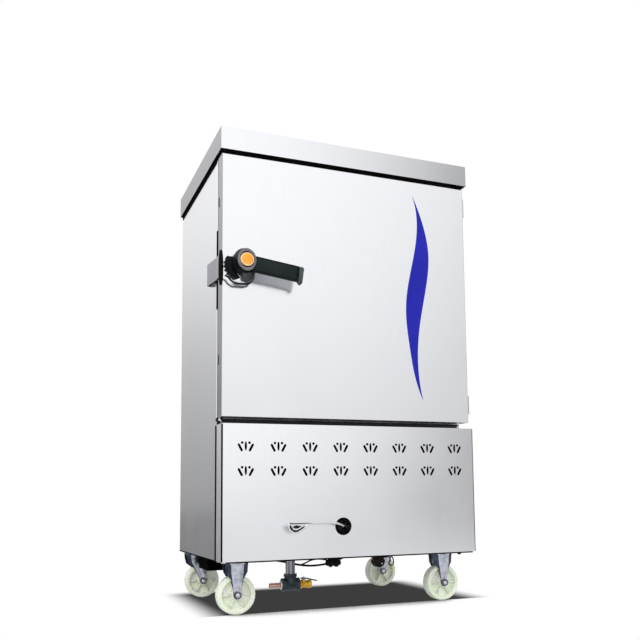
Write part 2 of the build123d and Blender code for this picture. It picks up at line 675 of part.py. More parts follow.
def drain_tee():
    """Cast iron tee with banded mouths."""
    run = rod((DRAIN_X - 25, DRAIN_Y, TEE_RISE), (1, 0, 0), 16.5, 50)
    run += rod((DRAIN_X, DRAIN_Y, TEE_RISE), (0, 0, 1), 16.5, 30)
    for end in (DRAIN_X - 25, DRAIN_X + 18):
        run += rod((end, DRAIN_Y, TEE_RISE), (1, 0, 0), 18.5, 7)
    run += rod((DRAIN_X, DRAIN_Y, TEE_RISE + 22), (0, 0, 1), 18.5, 8)
    run -= rod((DRAIN_X - 30, DRAIN_Y, TEE_RISE), (1, 0, 0), 11, 60)
    return run - rod((DRAIN_X, DRAIN_Y, TEE_RISE), (0, 0, 1), 11, 40)


def drain_nipple():
    """Copper hose nipple with its flange, in the left mouth of the tee."""
    face = DRAIN_X - 25
    nipple = rod((face, DRAIN_Y, TEE_RISE), (-1, 0, 0), 11, 4)
    nipple += rod((face - 4, DRAIN_Y, TEE_RISE), (-1, 0, 0), 6.3, 32)
    nipple += rod((face, DRAIN_Y, TEE_RISE), (1, 0, 0), 11 - FIT, 12)
    return nipple - rod((face + 13, DRAIN_Y, TEE_RISE), (-1, 0, 0), 4.5, 60)


def drain_valve_body():
    """Brass ball valve in the right mouth of the tee."""
    face = DRAIN_X + 25
    body = rod((face - 12, DRAIN_Y, TEE_RISE), (1, 0, 0), 11 - FIT, 12)
    body += hexagon((face, DRAIN_Y, TEE_RISE), (1, 0, 0), 23, 7)
    body += Pos(face + 17, DRAIN_Y, TEE_RISE) * Sphere(13)
    body += hexagon((face + 25, DRAIN_Y, TEE_RISE), (1, 0, 0), 20, 8)
    body += rod((face + 17, DRAIN_Y, TEE_RISE), (0, 0, 1), 5, 17)
    body += rod((face + 17, DRAIN_Y, TEE_RISE), (0, 0, 1), 2.5, 22)
    return body - rod((face - 13, DRAIN_Y, TEE_RISE), (1, 0, 0), 6, 60)


def drain_valve_lever():
    """Thin pressed lever on the valve's stem, with a turned-up tip."""
    x = DRAIN_X + 42
    z = TEE_RISE + 17 + FIT
    lever = block((x - 7, x + 36), (DRAIN_Y - 5, DRAIN_Y + 5), (z, z + 2))
    lever = fillet(lever.edges().filter_by(Axis.Z), 4)
    tip = block((x + 30, x + 38), (DRAIN_Y - 5, DRAIN_Y + 5), (z, z + 4.5))
    lever += tip
    return lever - rod((x, DRAIN_Y, z - 1), (0, 0, 1), 2.5 + AXLE_FIT, 6)


def fork_leg(x, top, half_top, half_wide, wide_z, axle_x):
    """Outline of a fork's leg: widest just under the plate, then tapering to the axle."""
    low = WHEEL_RADIUS
    eye = 10.0
    points = [
        (x - half_top, top),
        (x - half_wide, wide_z),
        (axle_x - eye, low + 4),
        (axle_x - eye * 0.6, low - eye * 0.8),
        (axle_x + eye * 0.6, low - eye * 0.8),
        (axle_x + eye, low + 4),
        (x + half_wide, wide_z),
        (x + half_top, top),
    ]
    face = make_face(Polyline(*points, close=True))
    return face - Pos(axle_x, low) * Circle(AXLE_RADIUS) - Pos((x + axle_x) / 2, low + 41) * Circle(3)


def fork_legs(x, y, top, axle_x):
    """The two legs of a fork with the ridge pressed down the middle of each."""
    legs = None
    outline = fork_leg(x, top, 27, 32, top - 18, axle_x)
    for side in (-1, 1):
        face_y = y + side * FORK_GAP / 2
        plane = front_plane(face_y if side < 0 else face_y + FORK_SHEET)
        leg = extrude(plane * outline, amount=FORK_SHEET)
        legs = leg if legs is None else legs + leg
    return legs


def front_fork():
    """Fixed castor fork: plate, crown and two legs pressed from one piece."""
    x, y = -CASTOR_X, FRONT_CASTOR_BACK
    top = BASE_Z - PLATE_SHEET
    plate = Pos(x, y, BASE_Z - PLATE_SHEET / 2) * Box(PLATE[0], PLATE[1], PLATE_SHEET)
    plate = fillet(plate.edges().filter_by(Axis.Z), 8)
    legs = fork_legs(x, y, top, x)
    crown = Pos(x, y, top - FORK_SHEET / 2) * Box(54, FORK_GAP + 2 * FORK_SHEET, FORK_SHEET)
    fork = plate + crown + legs
    for hole in plate_holes(x, y, PLATE):
        fork -= Pos(hole[0], hole[1], BASE_Z) * Cylinder(4, 20)
    return fork


def plate_holes(x, y, plate):
    """Centres of the four bolt holes of a castor plate."""
    return [(x + i * (plate[0] / 2 - 9), y + j * (plate[1] / 2 - 9)) for i in (-1, 1) for j in (-1, 1)]


def rear_plate():
    """Plate of a swivel castor with its upper race and kingpin."""
    x, y = -REAR_CASTOR_X, REAR_CASTOR_Y
    plate = Pos(x, y, BASE_Z - PLATE_SHEET / 2) * Box(REAR_PLATE[0], REAR_PLATE[1], PLATE_SHEET)
    plate = fillet(plate.edges().filter_by(Axis.Z), 8)
    for hole in plate_holes(x, y, REAR_PLATE):
        plate -= Pos(hole[0], hole[1], BASE_Z) * Cylinder(4, 20)
    race = rod((x, y, BASE_Z - PLATE_SHEET - 5), (0, 0, 1), 24, 5)
    pin = rod((x, y, BASE_Z - 18), (0, 0, 1), AXLE_RADIUS, 15)
    head = rod((x, y, BASE_Z - 20), (0, 0, 1), 9, 3 - FIT)
    return plate + race + pin + head


def rear_fork(axle_x):
    """Swivel fork under the rear plate, drawn on the left, with its axle to one side."""
    x, y = -REAR_CASTOR_X, REAR_CASTOR_Y
    top = BASE_Z - PLATE_SHEET - 5 - FIT
    crown = rod((x, y, top - 9 + FIT), (0, 0, 1), 27, 9 - FIT)
    crown -= rod((x, y, top - 20), (0, 0, 1), AXLE_RADIUS + AXLE_FIT, 40)
    half = FORK_GAP / 2 + FORK_SHEET
    bridge = block((x - 25, x + 25), (y - half, y + half), (top - 9 + FIT, top))
    bridge -= rod((x, y, top - 20), (0, 0, 1), AXLE_RADIUS + AXLE_FIT, 40)
    legs = fork_legs(x, y, top, axle_x)
    return crown + bridge + legs


def wheel(x, y):
    """Moulded nylon wheel with a recessed web and six ribs on each face."""
    half = WHEEL_WIDTH / 2
    tyre = rod((x, y - half, WHEEL_RADIUS), (0, 1, 0), WHEEL_RADIUS, WHEEL_WIDTH)
    tyre = fillet(tyre.edges().filter_by(GeomType.CIRCLE), 3)
    for side in (-1, 1):
        face = y + side * half
        recess = rod((x, face, WHEEL_RADIUS), (0, -side, 0), 37, 9)
        recess -= rod((x, face, WHEEL_RADIUS), (0, -side, 0), 14, 9)
        for rib in range(6):
            turn = Pos(x, face - side * 5.5, WHEEL_RADIUS) * Rot(0, 60 * rib, 0)
            recess -= turn * Pos(25, 0, 0) * Box(30, 7, 3.2)
        tyre -= recess
        tyre += rod((x, face, WHEEL_RADIUS), (0, side, 0), 12, 2)
    return tyre - rod((x, y - 30, WHEEL_RADIUS), (0, 1, 0), AXLE_RADIUS + AXLE_FIT, 60)


def axle_bolt(x, y):
    """Hexagon bolt through a fork and its wheel, with the nut at the back."""
    outer = FORK_GAP / 2 + FORK_SHEET
    bolt = hexagon((x, y - outer, WHEEL_RADIUS), (0, -1, 0), 18, 7)
    bolt += rod((x, y - outer, WHEEL_RADIUS), (0, 1, 0), AXLE_RADIUS, 2 * outer + 12)
    return bolt + hexagon((x, y + outer, WHEEL_RADIUS), (0, 1, 0), 18, 9)


def castor_bolts():
    """Sixteen hexagon bolts that hold the castor plates to the floor pan."""
    places = []
    for side in (-1, 1):
        places += plate_holes(side * CASTOR_X, FRONT_CASTOR_BACK, PLATE)
        places += plate_holes(side * REAR_CASTOR_X, REAR_CASTOR_Y, REAR_PLATE)
    bolts = []
    for x, y in places:
        bolts.append(hexagon((x, y, BASE_Z - PLATE_SHEET), (0, 0, -1), 12, 5))
    return Compound(bolts)


def hinge_leaf_body():
    """Lower half of a lift-off hinge, with its pin, on the side panel."""
    leaves = []
    for z in HINGE_Z:
        low = z - HINGE_LENGTH / 2
        knuckle = rod((HINGE_X, HINGE_DEPTH, low), (0, 0, 1), HINGE_RADIUS, HINGE_LENGTH / 2 - FIT)
        pin = rod((HINGE_X, HINGE_DEPTH, low), (0, 0, 1), PIN_RADIUS, HINGE_LENGTH - 4)
        leaf = block((HALF, HALF + 2.5), (HINGE_DEPTH + 7, BODY_FRONT + 46), (low, z - FIT))
        web = block((HALF, HINGE_X), (HINGE_DEPTH, HINGE_DEPTH + HINGE_RADIUS), (low, z - FIT))
        web += block((HALF, HALF + 2.5), (HINGE_DEPTH, HINGE_DEPTH + 8), (low, z - FIT))
        leaves.append(knuckle + pin + leaf + web)
    return Compound(leaves)


def hinge_leaf_door():
    """Upper half of a lift-off hinge, on the door's edge."""
    leaves = []
    for z in HINGE_Z:
        high = z + HINGE_LENGTH / 2
        knuckle = rod((HINGE_X, HINGE_DEPTH, z), (0, 0, 1), HINGE_RADIUS, HINGE_LENGTH / 2)
        leaf = block((DOOR_HALF, DOOR_HALF + 2.2), (HINGE_DEPTH - 12, HINGE_DEPTH + 28), (z, high))
        web = block((DOOR_HALF, HINGE_X), (HINGE_DEPTH - HINGE_RADIUS, HINGE_DEPTH), (z, high))
        both = knuckle + leaf + web
        hole = rod((HINGE_X, HINGE_DEPTH, z - 1), (0, 0, 1), PIN_RADIUS + PIN_FIT, HINGE_LENGTH / 2 - 1)
        leaves.append(both - hole)
    return Compound(leaves)


def keeper_bracket():
    """Folded plate on the left side panel that carries the keeper bar in front of the door's edge."""
    z = (HUB[1] + KEEPER_PLATE[0], HUB[1] + KEEPER_PLATE[1])
    side = -HALF - KEEPER_CLEAR - 1.25
    points = [
        (KEEPER_X, -12),
        (side - 0.6, 4),
        (side, BODY_FRONT - 12),
        (-HALF - 10.5, BODY_FRONT + 62),
        (-HALF - 1.25, BODY_FRONT + 66),
        (-HALF - 1.25, BODY_FRONT + 24),
    ]
    line = Polyline(*points)
    return extrude(Pos(0, 0, z[0]) * trace(line, line_width=2.5), amount=z[1] - z[0])


def keeper_bar():
    """Black plastic bar with tapered ends, over the bracket's front edge."""
    low = HUB[1] - KEEPER_DROP
    high = low + KEEPER_LENGTH
    half = Polyline(
        (0, low),
        (KEEPER_TIP_RADIUS, low),
        (KEEPER_RADIUS, low + KEEPER_TAPER),
        (KEEPER_RADIUS, high - KEEPER_TAPER),
        (KEEPER_TIP_RADIUS, high),
        (0, high),
        close=True,
    )
    bar = revolve(Plane.XZ * make_face(half), axis=Axis.Z)
    return Pos(KEEPER_X, -12, 0) * bar - keeper_bracket()


def case_screws():
    """Pan-head screws of the lower panel and keeper, and the rivets at the foot of the frame."""
    screws = []
    for side in (-1, 1):
        low = rod((side * (HALF - 20), 25, BASE_Z), (0, 0, -1), 4.5, 3)
        screws.append(low)
        rivet = rod((side * (HALF - 12), BODY_FRONT - GASKET_GAP, HEADER_Z + 9), (0, -1, 0), 3, 1.5)
        screws.append(rivet)
    for rise in KEEPER_SCREWS:
        place = (-HALF - 2.5, BODY_FRONT + 36, HUB[1] + rise)
        screws.append(rod(place, (-1, 0, 0), 4, 2.2))
    return Compound(screws)


def door_skin():
    """Outer pan of the door, folded back on all four sides."""
    x = (-DOOR_HALF, DOOR_HALF)
    y = (0.0, DOOR_DEPTH)
    z = (DOOR_Z, BODY_TOP)
    pan = block(x, y, z)
    pan = fillet(pan.faces().sort_by(Axis.Y)[0].edges(), BEND_RADIUS - 0.6)
    pan -= block((x[0] + SHEET, x[1] - SHEET), (y[0] + SHEET, y[1] + 1), (z[0] + SHEET, z[1] - SHEET))
    for height in PLUG_RISES:
        plug_hole = Box(4, PLUG[0] + 0.1, PLUG[1] + 0.1)
        pan -= Pos(-DOOR_HALF, DOOR_DEPTH - PLUG_INSET, DOOR_Z + height) * plug_hole
    return pan


def door_inner_panel():
    """Inner face of the door, pressed out a little inside the gasket."""
    edge = SHEET + 0.1
    x = (-DOOR_HALF + edge, DOOR_HALF - edge)
    z = (DOOR_Z + edge, BODY_TOP - edge)
    plate = block(x, (DOOR_DEPTH - 1 - SHEET, DOOR_DEPTH - 1), z)
    raised = block((x[0] + 55, x[1] - 55), (DOOR_DEPTH - 2, DOOR_DEPTH + 5), (z[0] + 55, z[1] - 55))
    raised = chamfer(raised.faces().sort_by(Axis.Y)[-1].edges(), 5)
    hollow = block(
        (x[0] + 56.5, x[1] - 56.5), (DOOR_DEPTH - 3, DOOR_DEPTH + 4), (z[0] + 56.5, z[1] - 56.5)
    )
    hollow = chamfer(hollow.faces().sort_by(Axis.Y)[-1].edges(), 5)
    return plate + raised - hollow


def door_insulation():
    """Mineral wool inside the door."""
    edge = SHEET + 0.1
    x = (-DOOR_HALF + edge, DOOR_HALF - edge)
    return block(x, (SHEET, DOOR_DEPTH - 1 - SHEET), (DOOR_Z + edge, BODY_TOP - edge))


def door_gasket():
    """Silicone bulb gasket round the inner face of the door."""
    x = (-HALF + 10, HALF - 10)
    z = (DOOR_Z + 3, BODY_TOP - 8)
    y = (DOOR_DEPTH - 1, BODY_FRONT - FIT)
    ring = fillet(block(x, y, z).edges().filter_by(Axis.Y), 10)
    wide = 16.0
    hole = block((x[0] + wide, x[1] - wide), (y[0] - 1, y[1] + 1), (z[0] + wide, z[1] - wide))
    ring -= fillet(hole.edges().filter_by(Axis.Y), 4)
    return fillet(ring.faces().sort_by(Axis.Y)[-1].edges(), 3)


def door_stripe():
    """Blue film stripe on the door: a tapered S curve, by distance from the middle and share of its height."""
    low = STRIPE_LOW
    rise = DOOR_HEIGHT - STRIPE_LOW - STRIPE_TOP
    right = [
        (192.7, 1.0), (223.5, 0.869), (241.2, 0.710), (234.1, 0.577), (207.0, 0.343), (203.8, 0.095),
        (214.2, 0.0),
    ]
    left = [
        (214.2, 0.0), (187.0, 0.137), (176.7, 0.240), (166.3, 0.446), (199.0, 0.742), (205.5, 0.825),
        (192.7, 1.0),
    ]
    edges = [Spline(*[(x, low + share * rise) for x, share in side]) for side in (right, left)]
    return extrude(front_plane(0.0, 0.0, DOOR_Z) * make_face(edges), amount=STRIPE_DEPTH)


def door_edge_plugs():
    """Two black plugs in the left edge of the door."""
    plugs = []
    for height in PLUG_RISES:
        centre = (DOOR_DEPTH - PLUG_INSET, DOOR_Z + height)
        stem = Pos(-DOOR_HALF + SHEET / 2, *centre) * Box(SHEET, *PLUG)
        head = Pos(-DOOR_HALF - 0.3, *centre) * Box(0.6, PLUG[0] + 3, PLUG[1] + 3)
        plugs.append(stem + head)
    return Compound(plugs)


def latch_base():
    """Plastic foot of the latch on the door, with a ribbed left edge and the pivot of the lever."""
    x, z = HUB
    plane = front_plane(0.0, x, z)
    outline = Polyline(
        (-42, 24), (-45, 2), (-40, -18), (-30, -36), (-16, -46), (4, -46), (20, -34), (24, -6), (22, 22),
        (4, 30), (-20, 26), close=True
    )
    foot = extrude(plane * fillet(make_face(outline).vertices(), 4), amount=12)
    foot = fillet(foot.faces().sort_by(Axis.Y)[0].edges(), 1.5)
    for rib in range(5):
        turn = math.radians(150 + 16 * rib)
        foot += rod((x + 46 * math.cos(turn), 0, z + 44 * math.sin(turn)), (0, -1, 0), 3.2, 10)
    foot += rod((x, -12, z), (0, -1, 0), 17, 2)
    return foot + rod((x, -12, z), (0, -1, 0), PIVOT_RADIUS, HUB_FRONT - 22)


def latch_hook():
    """Steel plate behind the lever's drum, with the hook that reaches for the keeper."""
    x, z = HUB
    route = [(24, -12), (29, -34), (22, -52), (8, -63.5), (-30, -64.5), (-35, -53.5), (-51.5, -44)]
    line = FilletPolyline(*route, radius=4)
    plate = trace(line, line_width=5)
    plate += Circle(23) - Circle(PIVOT_RADIUS + FIT)
    plate += make_face(Polyline((10, -18), (24, -8), (29, -34), (19, -52), close=True))
    return extrude(front_plane(-14.4, x, z) * plate, amount=HUB_REAR - 14.4 - FIT)


def latch_lever():
    """Drum, chin and long flat lever, moulded as one piece."""
    x, z = HUB
    plane = front_plane(-HUB_REAR, x, z)
    drum = extrude(plane * Ellipse(*HUB_RADII), amount=HUB_FRONT - HUB_REAR)
    chin = extrude(plane * Pos(8, -35) * Circle(18), amount=22)
    chin = chamfer(chin.faces().sort_by(Axis.Y)[0].edges(), 4)
    front = LEVER_DEPTH
    grip = Pos(0, -6) * Rot(0, 0, -LEVER_TILT)
    bar = Pos((LEVER_TIP + 10) / 2, 0) * Rectangle(LEVER_TIP - 10, LEVER_HEIGHT)
    tip = Pos(LEVER_TIP - 6, -LEVER_HEIGHT / 2 - 2) * Rectangle(12, 8)
    outline = grip * fillet((bar + tip).vertices(), 2.0)
    lever = extrude(front_plane(-HUB_FRONT + front, x, z) * outline, amount=front)
    lever = fillet(lever.faces().sort_by(Axis.Y)[0].edges(), 1.2)
    hollow = grip * Pos((LEVER_TIP + 20) / 2, 0) * RectangleRounded(LEVER_TIP - 52, LEVER_HEIGHT - 8, 3)
    lever -= extrude(front_plane(-HUB_FRONT + front + 1, x, z) * hollow, amount=front - 5)
    whole = drum + chin + lever
    bore = rod((x, -HUB_REAR + 1, z), (0, -1, 0), PIVOT_RADIUS + AXLE_FIT, HUB_FRONT - HUB_REAR - 6)
    return whole - bore


def latch_ring():
    """Grey ring on the front of the drum."""
    x, z = HUB
    plane = front_plane(-HUB_FRONT, x, z)
    ring = Ellipse(HUB_RADII[0] - 0.6, HUB_RADII[1] - 0.6) - Circle(CAP_RADIUS + FIT)
    ring = extrude(plane * ring, amount=RING_DEPTH)
    return chamfer(ring.faces().sort_by(Axis.Y)[0].edges(), 0.8)


def latch_cap():
    """Orange cap in the middle of the ring."""
    x, z = HUB
    cap = rod((x, -HUB_FRONT, z), (0, -1, 0), CAP_RADIUS, RING_DEPTH + 3)
    return fillet(cap.faces().sort_by(Axis.Y)[0].edges(), 2.4)


def gas_lever():
    """Bent rod from the valve stem, with a cupped leaf-shaped grip at its end."""
    stand = -PANEL_FRONT - GAS_LEVER_STAND
    lift = 8.0
    points = [
        (GAS_X, 22, GAS_Z),
        (GAS_X, -4, GAS_Z),
        (GAS_X - 20, stand, GAS_Z + 5),
        (GAS_X - 58, stand, GAS_Z + lift + 1.5),
        (GAS_X - GAS_LEVER_REACH + 24, stand, GAS_Z + lift),
    ]
    rod_part = tube(points, GAS_ROD_RADIUS, [9, 12, 40])
    plane = front_plane(stand + 3, GAS_X - GAS_LEVER_REACH, GAS_Z + lift)
    top = Line((32, 2.6), (-30, 2.6))
    low = Spline((-30, 2.6), (-24, -14), (-8, -21), (10, -14), (32, -2.6))
    close = Line((32, -2.6), (32, 2.6))
    leaf = extrude(plane * make_face([top, low, close]), amount=6)
    top_in = Line((20, -1), (-26, -1))
    low_in = Spline((-26, -1), (-21, -12), (-8, -17.5), (8, -11), (20, -1))
    dish = extrude(plane.offset(2) * make_face([top_in, low_in]), amount=6)
    return rod_part + (leaf - dish)


def main():
    os.makedirs("parts", exist_ok=True)
    save(base_frame(), "base_frame")
    left = side_panel()
    save(left, "left_side_panel")
    save(mirrored(left), "right_side_panel")
    save(rear_panel(), "rear_panel")
    save(top_cover(), "top_cover")
    save(neck_seal(), "neck_seal")
    save(front_frame(), "front_frame")
    save(sill_strip(), "sill_strip")
    save(chamber_liner(), "chamber_liner")
    save(wall_insulation(), "wall_insulation")
    rack = tray_rack()
    save(Compound(rack + [mirrored(bar) for bar in rack]), "tray_racks")
    for count, level in enumerate(TRAYS_LOADED, start=1):
        save(rice_tray(level), f"rice_tray_{count}")
    save(water_tank(), "water_tank")
    save(burner(), "burner")
    save(flue_outlet(), "flue_outlet")
    save(lower_front_panel(), "lower_front_panel")
    save(gas_valve_body(), "gas_valve_body")
    save(gas_pipe(), "gas_pipe")
    save(solenoid(), "gas_solenoid")
    save(igniter_box(), "igniter_box")
    save(igniter_lead(), "igniter_lead")
    save(junction_block(), "junction_block")
    save(lead_clips(), "lead_clips")
    save(drain_pipe(), "drain_pipe")
    save(drain_tee(), "drain_tee")
    save(drain_nipple(), "drain_nipple")
    save(drain_valve_body(), "drain_valve_body")
    save(drain_valve_lever(), "drain_valve_lever")
    fork = front_fork()
    save(Compound([fork, mirrored(fork)]), "front_castor_forks")
    plate = rear_plate()
    save(Compound([plate, mirrored(plate)]), "rear_castor_plates")
    swivel = rear_fork(-REAR_CASTOR_X + SWIVEL_TRAIL)
    save(swivel, "left_rear_castor_fork")
    save(mirrored(swivel), "right_rear_castor_fork")
    front_axle = axle_bolt(-CASTOR_X, FRONT_CASTOR_BACK)
    save(Compound([front_axle, mirrored(front_axle)]), "front_axle_bolts")
    rear_x = -REAR_CASTOR_X + SWIVEL_TRAIL
    rear_axle = axle_bolt(rear_x, REAR_CASTOR_Y)
    save(rear_axle, "left_rear_axle_bolt")
    save(mirrored(rear_axle), "right_rear_axle_bolt")
    front_wheel = wheel(-CASTOR_X, FRONT_CASTOR_BACK)
    save(front_wheel, "left_front_wheel")
    save(mirrored(front_wheel), "right_front_wheel")
    rear_wheel = wheel(rear_x, REAR_CASTOR_Y)
    save(rear_wheel, "left_rear_wheel")
    save(mirrored(rear_wheel), "right_rear_wheel")
    save(castor_bolts(), "castor_bolts")
    save(hinge_leaf_body(), "body_hinge_leaves")
    save(hinge_leaf_door(), "door_hinge_leaves")
    save(keeper_bracket(), "keeper_bracket")
    save(keeper_bar(), "keeper_bar")
    save(case_screws(), "case_screws")
    save(door_skin(), "door_skin")
    save(door_inner_panel(), "door_inner_panel")
    save(door_insulation(), "door_insulation")
    save(door_gasket(), "door_gasket")
    save(door_stripe(), "door_stripe")
    save(door_edge_plugs(), "door_edge_plugs")
    save(latch_base(), "latch_base")
    save(latch_hook(), "latch_hook")
    save(latch_lever(), "latch_lever")
    save(latch_ring(), "latch_ring")
    save(latch_cap(), "latch_cap")
    save(gas_lever(), "gas_lever")


main()
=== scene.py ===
import json
import math

import bmesh
import bpy
from mathutils import Matrix, Vector


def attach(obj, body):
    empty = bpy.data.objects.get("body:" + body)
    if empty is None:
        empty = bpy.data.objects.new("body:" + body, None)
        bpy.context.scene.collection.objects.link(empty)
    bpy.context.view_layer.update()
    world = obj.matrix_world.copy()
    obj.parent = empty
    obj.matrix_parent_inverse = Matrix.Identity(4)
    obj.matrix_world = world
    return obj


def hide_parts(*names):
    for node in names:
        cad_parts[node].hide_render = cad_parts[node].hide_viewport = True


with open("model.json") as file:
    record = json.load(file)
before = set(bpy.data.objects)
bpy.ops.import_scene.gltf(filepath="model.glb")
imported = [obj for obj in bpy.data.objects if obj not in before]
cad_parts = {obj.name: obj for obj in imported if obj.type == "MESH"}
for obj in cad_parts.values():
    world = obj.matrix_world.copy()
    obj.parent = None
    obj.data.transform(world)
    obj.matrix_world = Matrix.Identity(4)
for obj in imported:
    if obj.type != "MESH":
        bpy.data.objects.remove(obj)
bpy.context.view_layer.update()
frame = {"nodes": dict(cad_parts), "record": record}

# Sizes are in millimetres from the middle of the cabinet, the door's front face and the floor.
SHIFT = (1.3, -255.5, 0.0)
TO_FRONT, TO_BACK, UPWARDS = (0, -1, 0), (0, 1, 0), (0, 0, 1)
TO_LEFT, TO_RIGHT = (-1, 0, 0), (1, 0, 0)


def at(x, y, z):
    """A place on the cabinet, in the frame's metres."""
    return Vector(((x + SHIFT[0]) / 1000, (y + SHIFT[1]) / 1000, (z + SHIFT[2]) / 1000))


def hex_colour(code):
    """An sRGB hex value as linear colour."""
    parts = [int(code[i:i + 2], 16) / 255 for i in (1, 3, 5)]
    return [c / 12.92 if c <= 0.04045 else ((c + 0.055) / 1.055) ** 2.4 for c in parts] + [1.0]


def add(tree, kind, inputs=None, **settings):
    """One node, with its settings, its values and its links."""
    node = tree.nodes.new(kind)
    for key, value in settings.items():
        setattr(node, key, value)
    for key, value in (inputs or {}).items():
        if isinstance(value, bpy.types.NodeSocket):
            tree.links.new(value, node.inputs[key])
        else:
            node.inputs[key].default_value = value
    return node


def finish_base(name, roughness, metallic=0.0):
    """A material with its shader, ready for its pattern."""
    material = bpy.data.materials.new(name)
    material.use_nodes = True
    tree = material.node_tree
    shader = tree.nodes["Principled BSDF"]
    shader.inputs["Metallic"].default_value = metallic
    shader.inputs["Roughness"].default_value = roughness
    place = add(tree, "ShaderNodeTexCoord").outputs["Object"]
    return material, tree, shader, place


def speckle(tree, place, size, detail=2.0, stretch=(1, 1, 1)):
    """Noise whose grains are so many millimetres across, stretched along an axis if asked."""
    scaled = add(tree, "ShaderNodeMapping", {"Vector": place, "Scale": stretch})
    return add(
        tree, "ShaderNodeTexNoise", {"Vector": scaled.outputs[0], "Scale": 1000 / size, "Detail": detail}
    ).outputs["Fac"]


def between(tree, factor, low, high, start=0.3, end=0.7):
    """The factor spread from one value to another."""
    return add(
        tree, "ShaderNodeMapRange",
        {"Value": factor, "From Min": start, "From Max": end, "To Min": low, "To Max": high},
    ).outputs[0]


def maths(tree, operation, *values):
    """One sum of sockets and numbers."""
    return add(tree, "ShaderNodeMath", dict(enumerate(values)), operation=operation).outputs[0]


def blend(tree, kind, factor, low, high):
    """Two numbers or two colours mixed by a factor."""
    sockets = {"Factor": factor, "A": low, "B": high}
    return add(tree, "ShaderNodeMix", sockets, data_type=kind).outputs["Result"]


def two_tones(tree, factor, dark, light, start=0.3, end=0.7):
    """Two close colours mixed by a pattern."""
    spread = between(tree, factor, 0, 1, start, end)
    return blend(tree, "RGBA", spread, hex_colour(dark), hex_colour(light))


def coat(tree, shader, colour, roughness):
    """The shader's patterns of colour and of roughness."""
    tree.links.new(colour, shader.inputs["Base Color"])
    tree.links.new(roughness, shader.inputs["Roughness"])


def graded(tree, factor, stops):
    """The factor read off a smooth curve through (place, value) stops, with places from -1 to 1."""
    curve = add(tree, "ShaderNodeFloatCurve", {"Value": between(tree, factor, 0, 1, -1, 1)})
    points = curve.mapping.curves[0].points
    while len(points) < len(stops):
        points.new(0.5, 0.5)
    for point, (place, value) in zip(points, stops):
        point.location = ((place + 1) / 2, value)
    curve.mapping.update()
    return curve.outputs[0]


def relief(tree, shader, height, depth, strength=0.5):
    """Bump so many millimetres deep."""
    bump = add(tree, "ShaderNodeBump", {"Height": height, "Distance": depth / 1000, "Strength": strength})
    tree.links.new(bump.outputs[0], shader.inputs["Normal"])
    return bump


def turned_normal(tree, normal, start, end):
    """A normal carried between the world's axes and the piece's own."""
    return add(
        tree, "ShaderNodeVectorTransform", {0: normal},
        vector_type="NORMAL", convert_from=start, convert_to=end,
    ).outputs[0]


SHEET_HALF = 0.36


def bowed(tree, place, lean_x, lean_z, side_lean):
    """The way that a thin sheet faces where its folds pull it off flat.

    Its front leans by lean_x, (left, right), and by lean_z, (low, high) and the heights where they hold.
    Its sides lean by side_lean. Leans are in radians and heights in metres.
    """
    facing = turned_normal(tree, add(tree, "ShaderNodeNewGeometry").outputs["Normal"], "WORLD", "OBJECT")
    sizes = add(tree, "ShaderNodeVectorMath", {0: facing}, operation="ABSOLUTE").outputs[0]
    ways = add(tree, "ShaderNodeSeparateXYZ", {0: sizes}).outputs
    spot = add(tree, "ShaderNodeSeparateXYZ", {0: place}).outputs
    across = between(tree, spot["X"], lean_x[0], lean_x[1], -SHEET_HALF, SHEET_HALF)
    rise = between(tree, spot["Z"], *lean_z)
    x = maths(tree, "MULTIPLY", across, ways["Y"])
    z = maths(tree, "MULTIPLY", rise, ways["Y"])
    both = maths(tree, "MULTIPLY_ADD", ways["X"], side_lean, z)
    lean = add(tree, "ShaderNodeCombineXYZ", {"X": x, "Z": both}).outputs[0]
    leant = add(tree, "ShaderNodeVectorMath", {0: facing, 1: lean}, operation="ADD").outputs[0]
    back = turned_normal(tree, leant, "OBJECT", "WORLD")
    return add(tree, "ShaderNodeVectorMath", {0: back}, operation="NORMALIZE").outputs[0]


def satin_steel(name, dark, light, rough=(0.18, 0.26), grain=(1, 1, 0.02), bow=None):
    """Austenitic stainless sheet, satin finished: soft clouds of handling and fine brush lines.

    Real brush lines are about 0.1 mm apart. They are drawn at 1.2 mm, the finest that the render shows.
    """
    material, tree, shader, place = finish_base(name, 0.3, 1.0)
    lines = speckle(tree, place, 1.2, 1, grain)
    clouds = speckle(tree, place, 180, 3)
    both = maths(tree, "ADD", lines, clouds)
    coat(tree, shader, two_tones(tree, clouds, dark, light), between(tree, both, *rough, 0.8, 1.2))
    bump = relief(tree, shader, lines, 0.01, 0.02)
    if bow:
        tree.links.new(bowed(tree, place, *bow), bump.inputs["Normal"])
    return material


def plated_steel(name, dark, light, rough=(0.22, 0.4), stretch=(1, 1, 1), size=14):
    """Zinc-plated or polished pressing: bright, with cloudy patches of passivation. Where a use gives very
    dark tones, the patches are painted shade or painted reflection instead.
    """
    material, tree, shader, place = finish_base(name, 0.3, 1.0)
    patches = speckle(tree, place, size, 4, stretch)
    fine = speckle(tree, place, 1.5, 2)
    coat(tree, shader, two_tones(tree, patches, dark, light), between(tree, fine, *rough))
    relief(tree, shader, fine, 0.03, 0.15)
    return material


def cast_metal(name, dark, light, rough, metallic=0.6, grit=1.6, depth=0.25):
    """Sand-cast iron or forged brass: a pebbled skin with darker hollows."""
    material, tree, shader, place = finish_base(name, rough, metallic)
    pebbles = speckle(tree, place, grit, 4)
    stains = speckle(tree, place, 22, 3)
    spread = between(tree, pebbles, rough - 0.12, rough + 0.12)
    coat(tree, shader, two_tones(tree, stains, dark, light), spread)
    relief(tree, shader, pebbles, depth, 0.5)
    return material


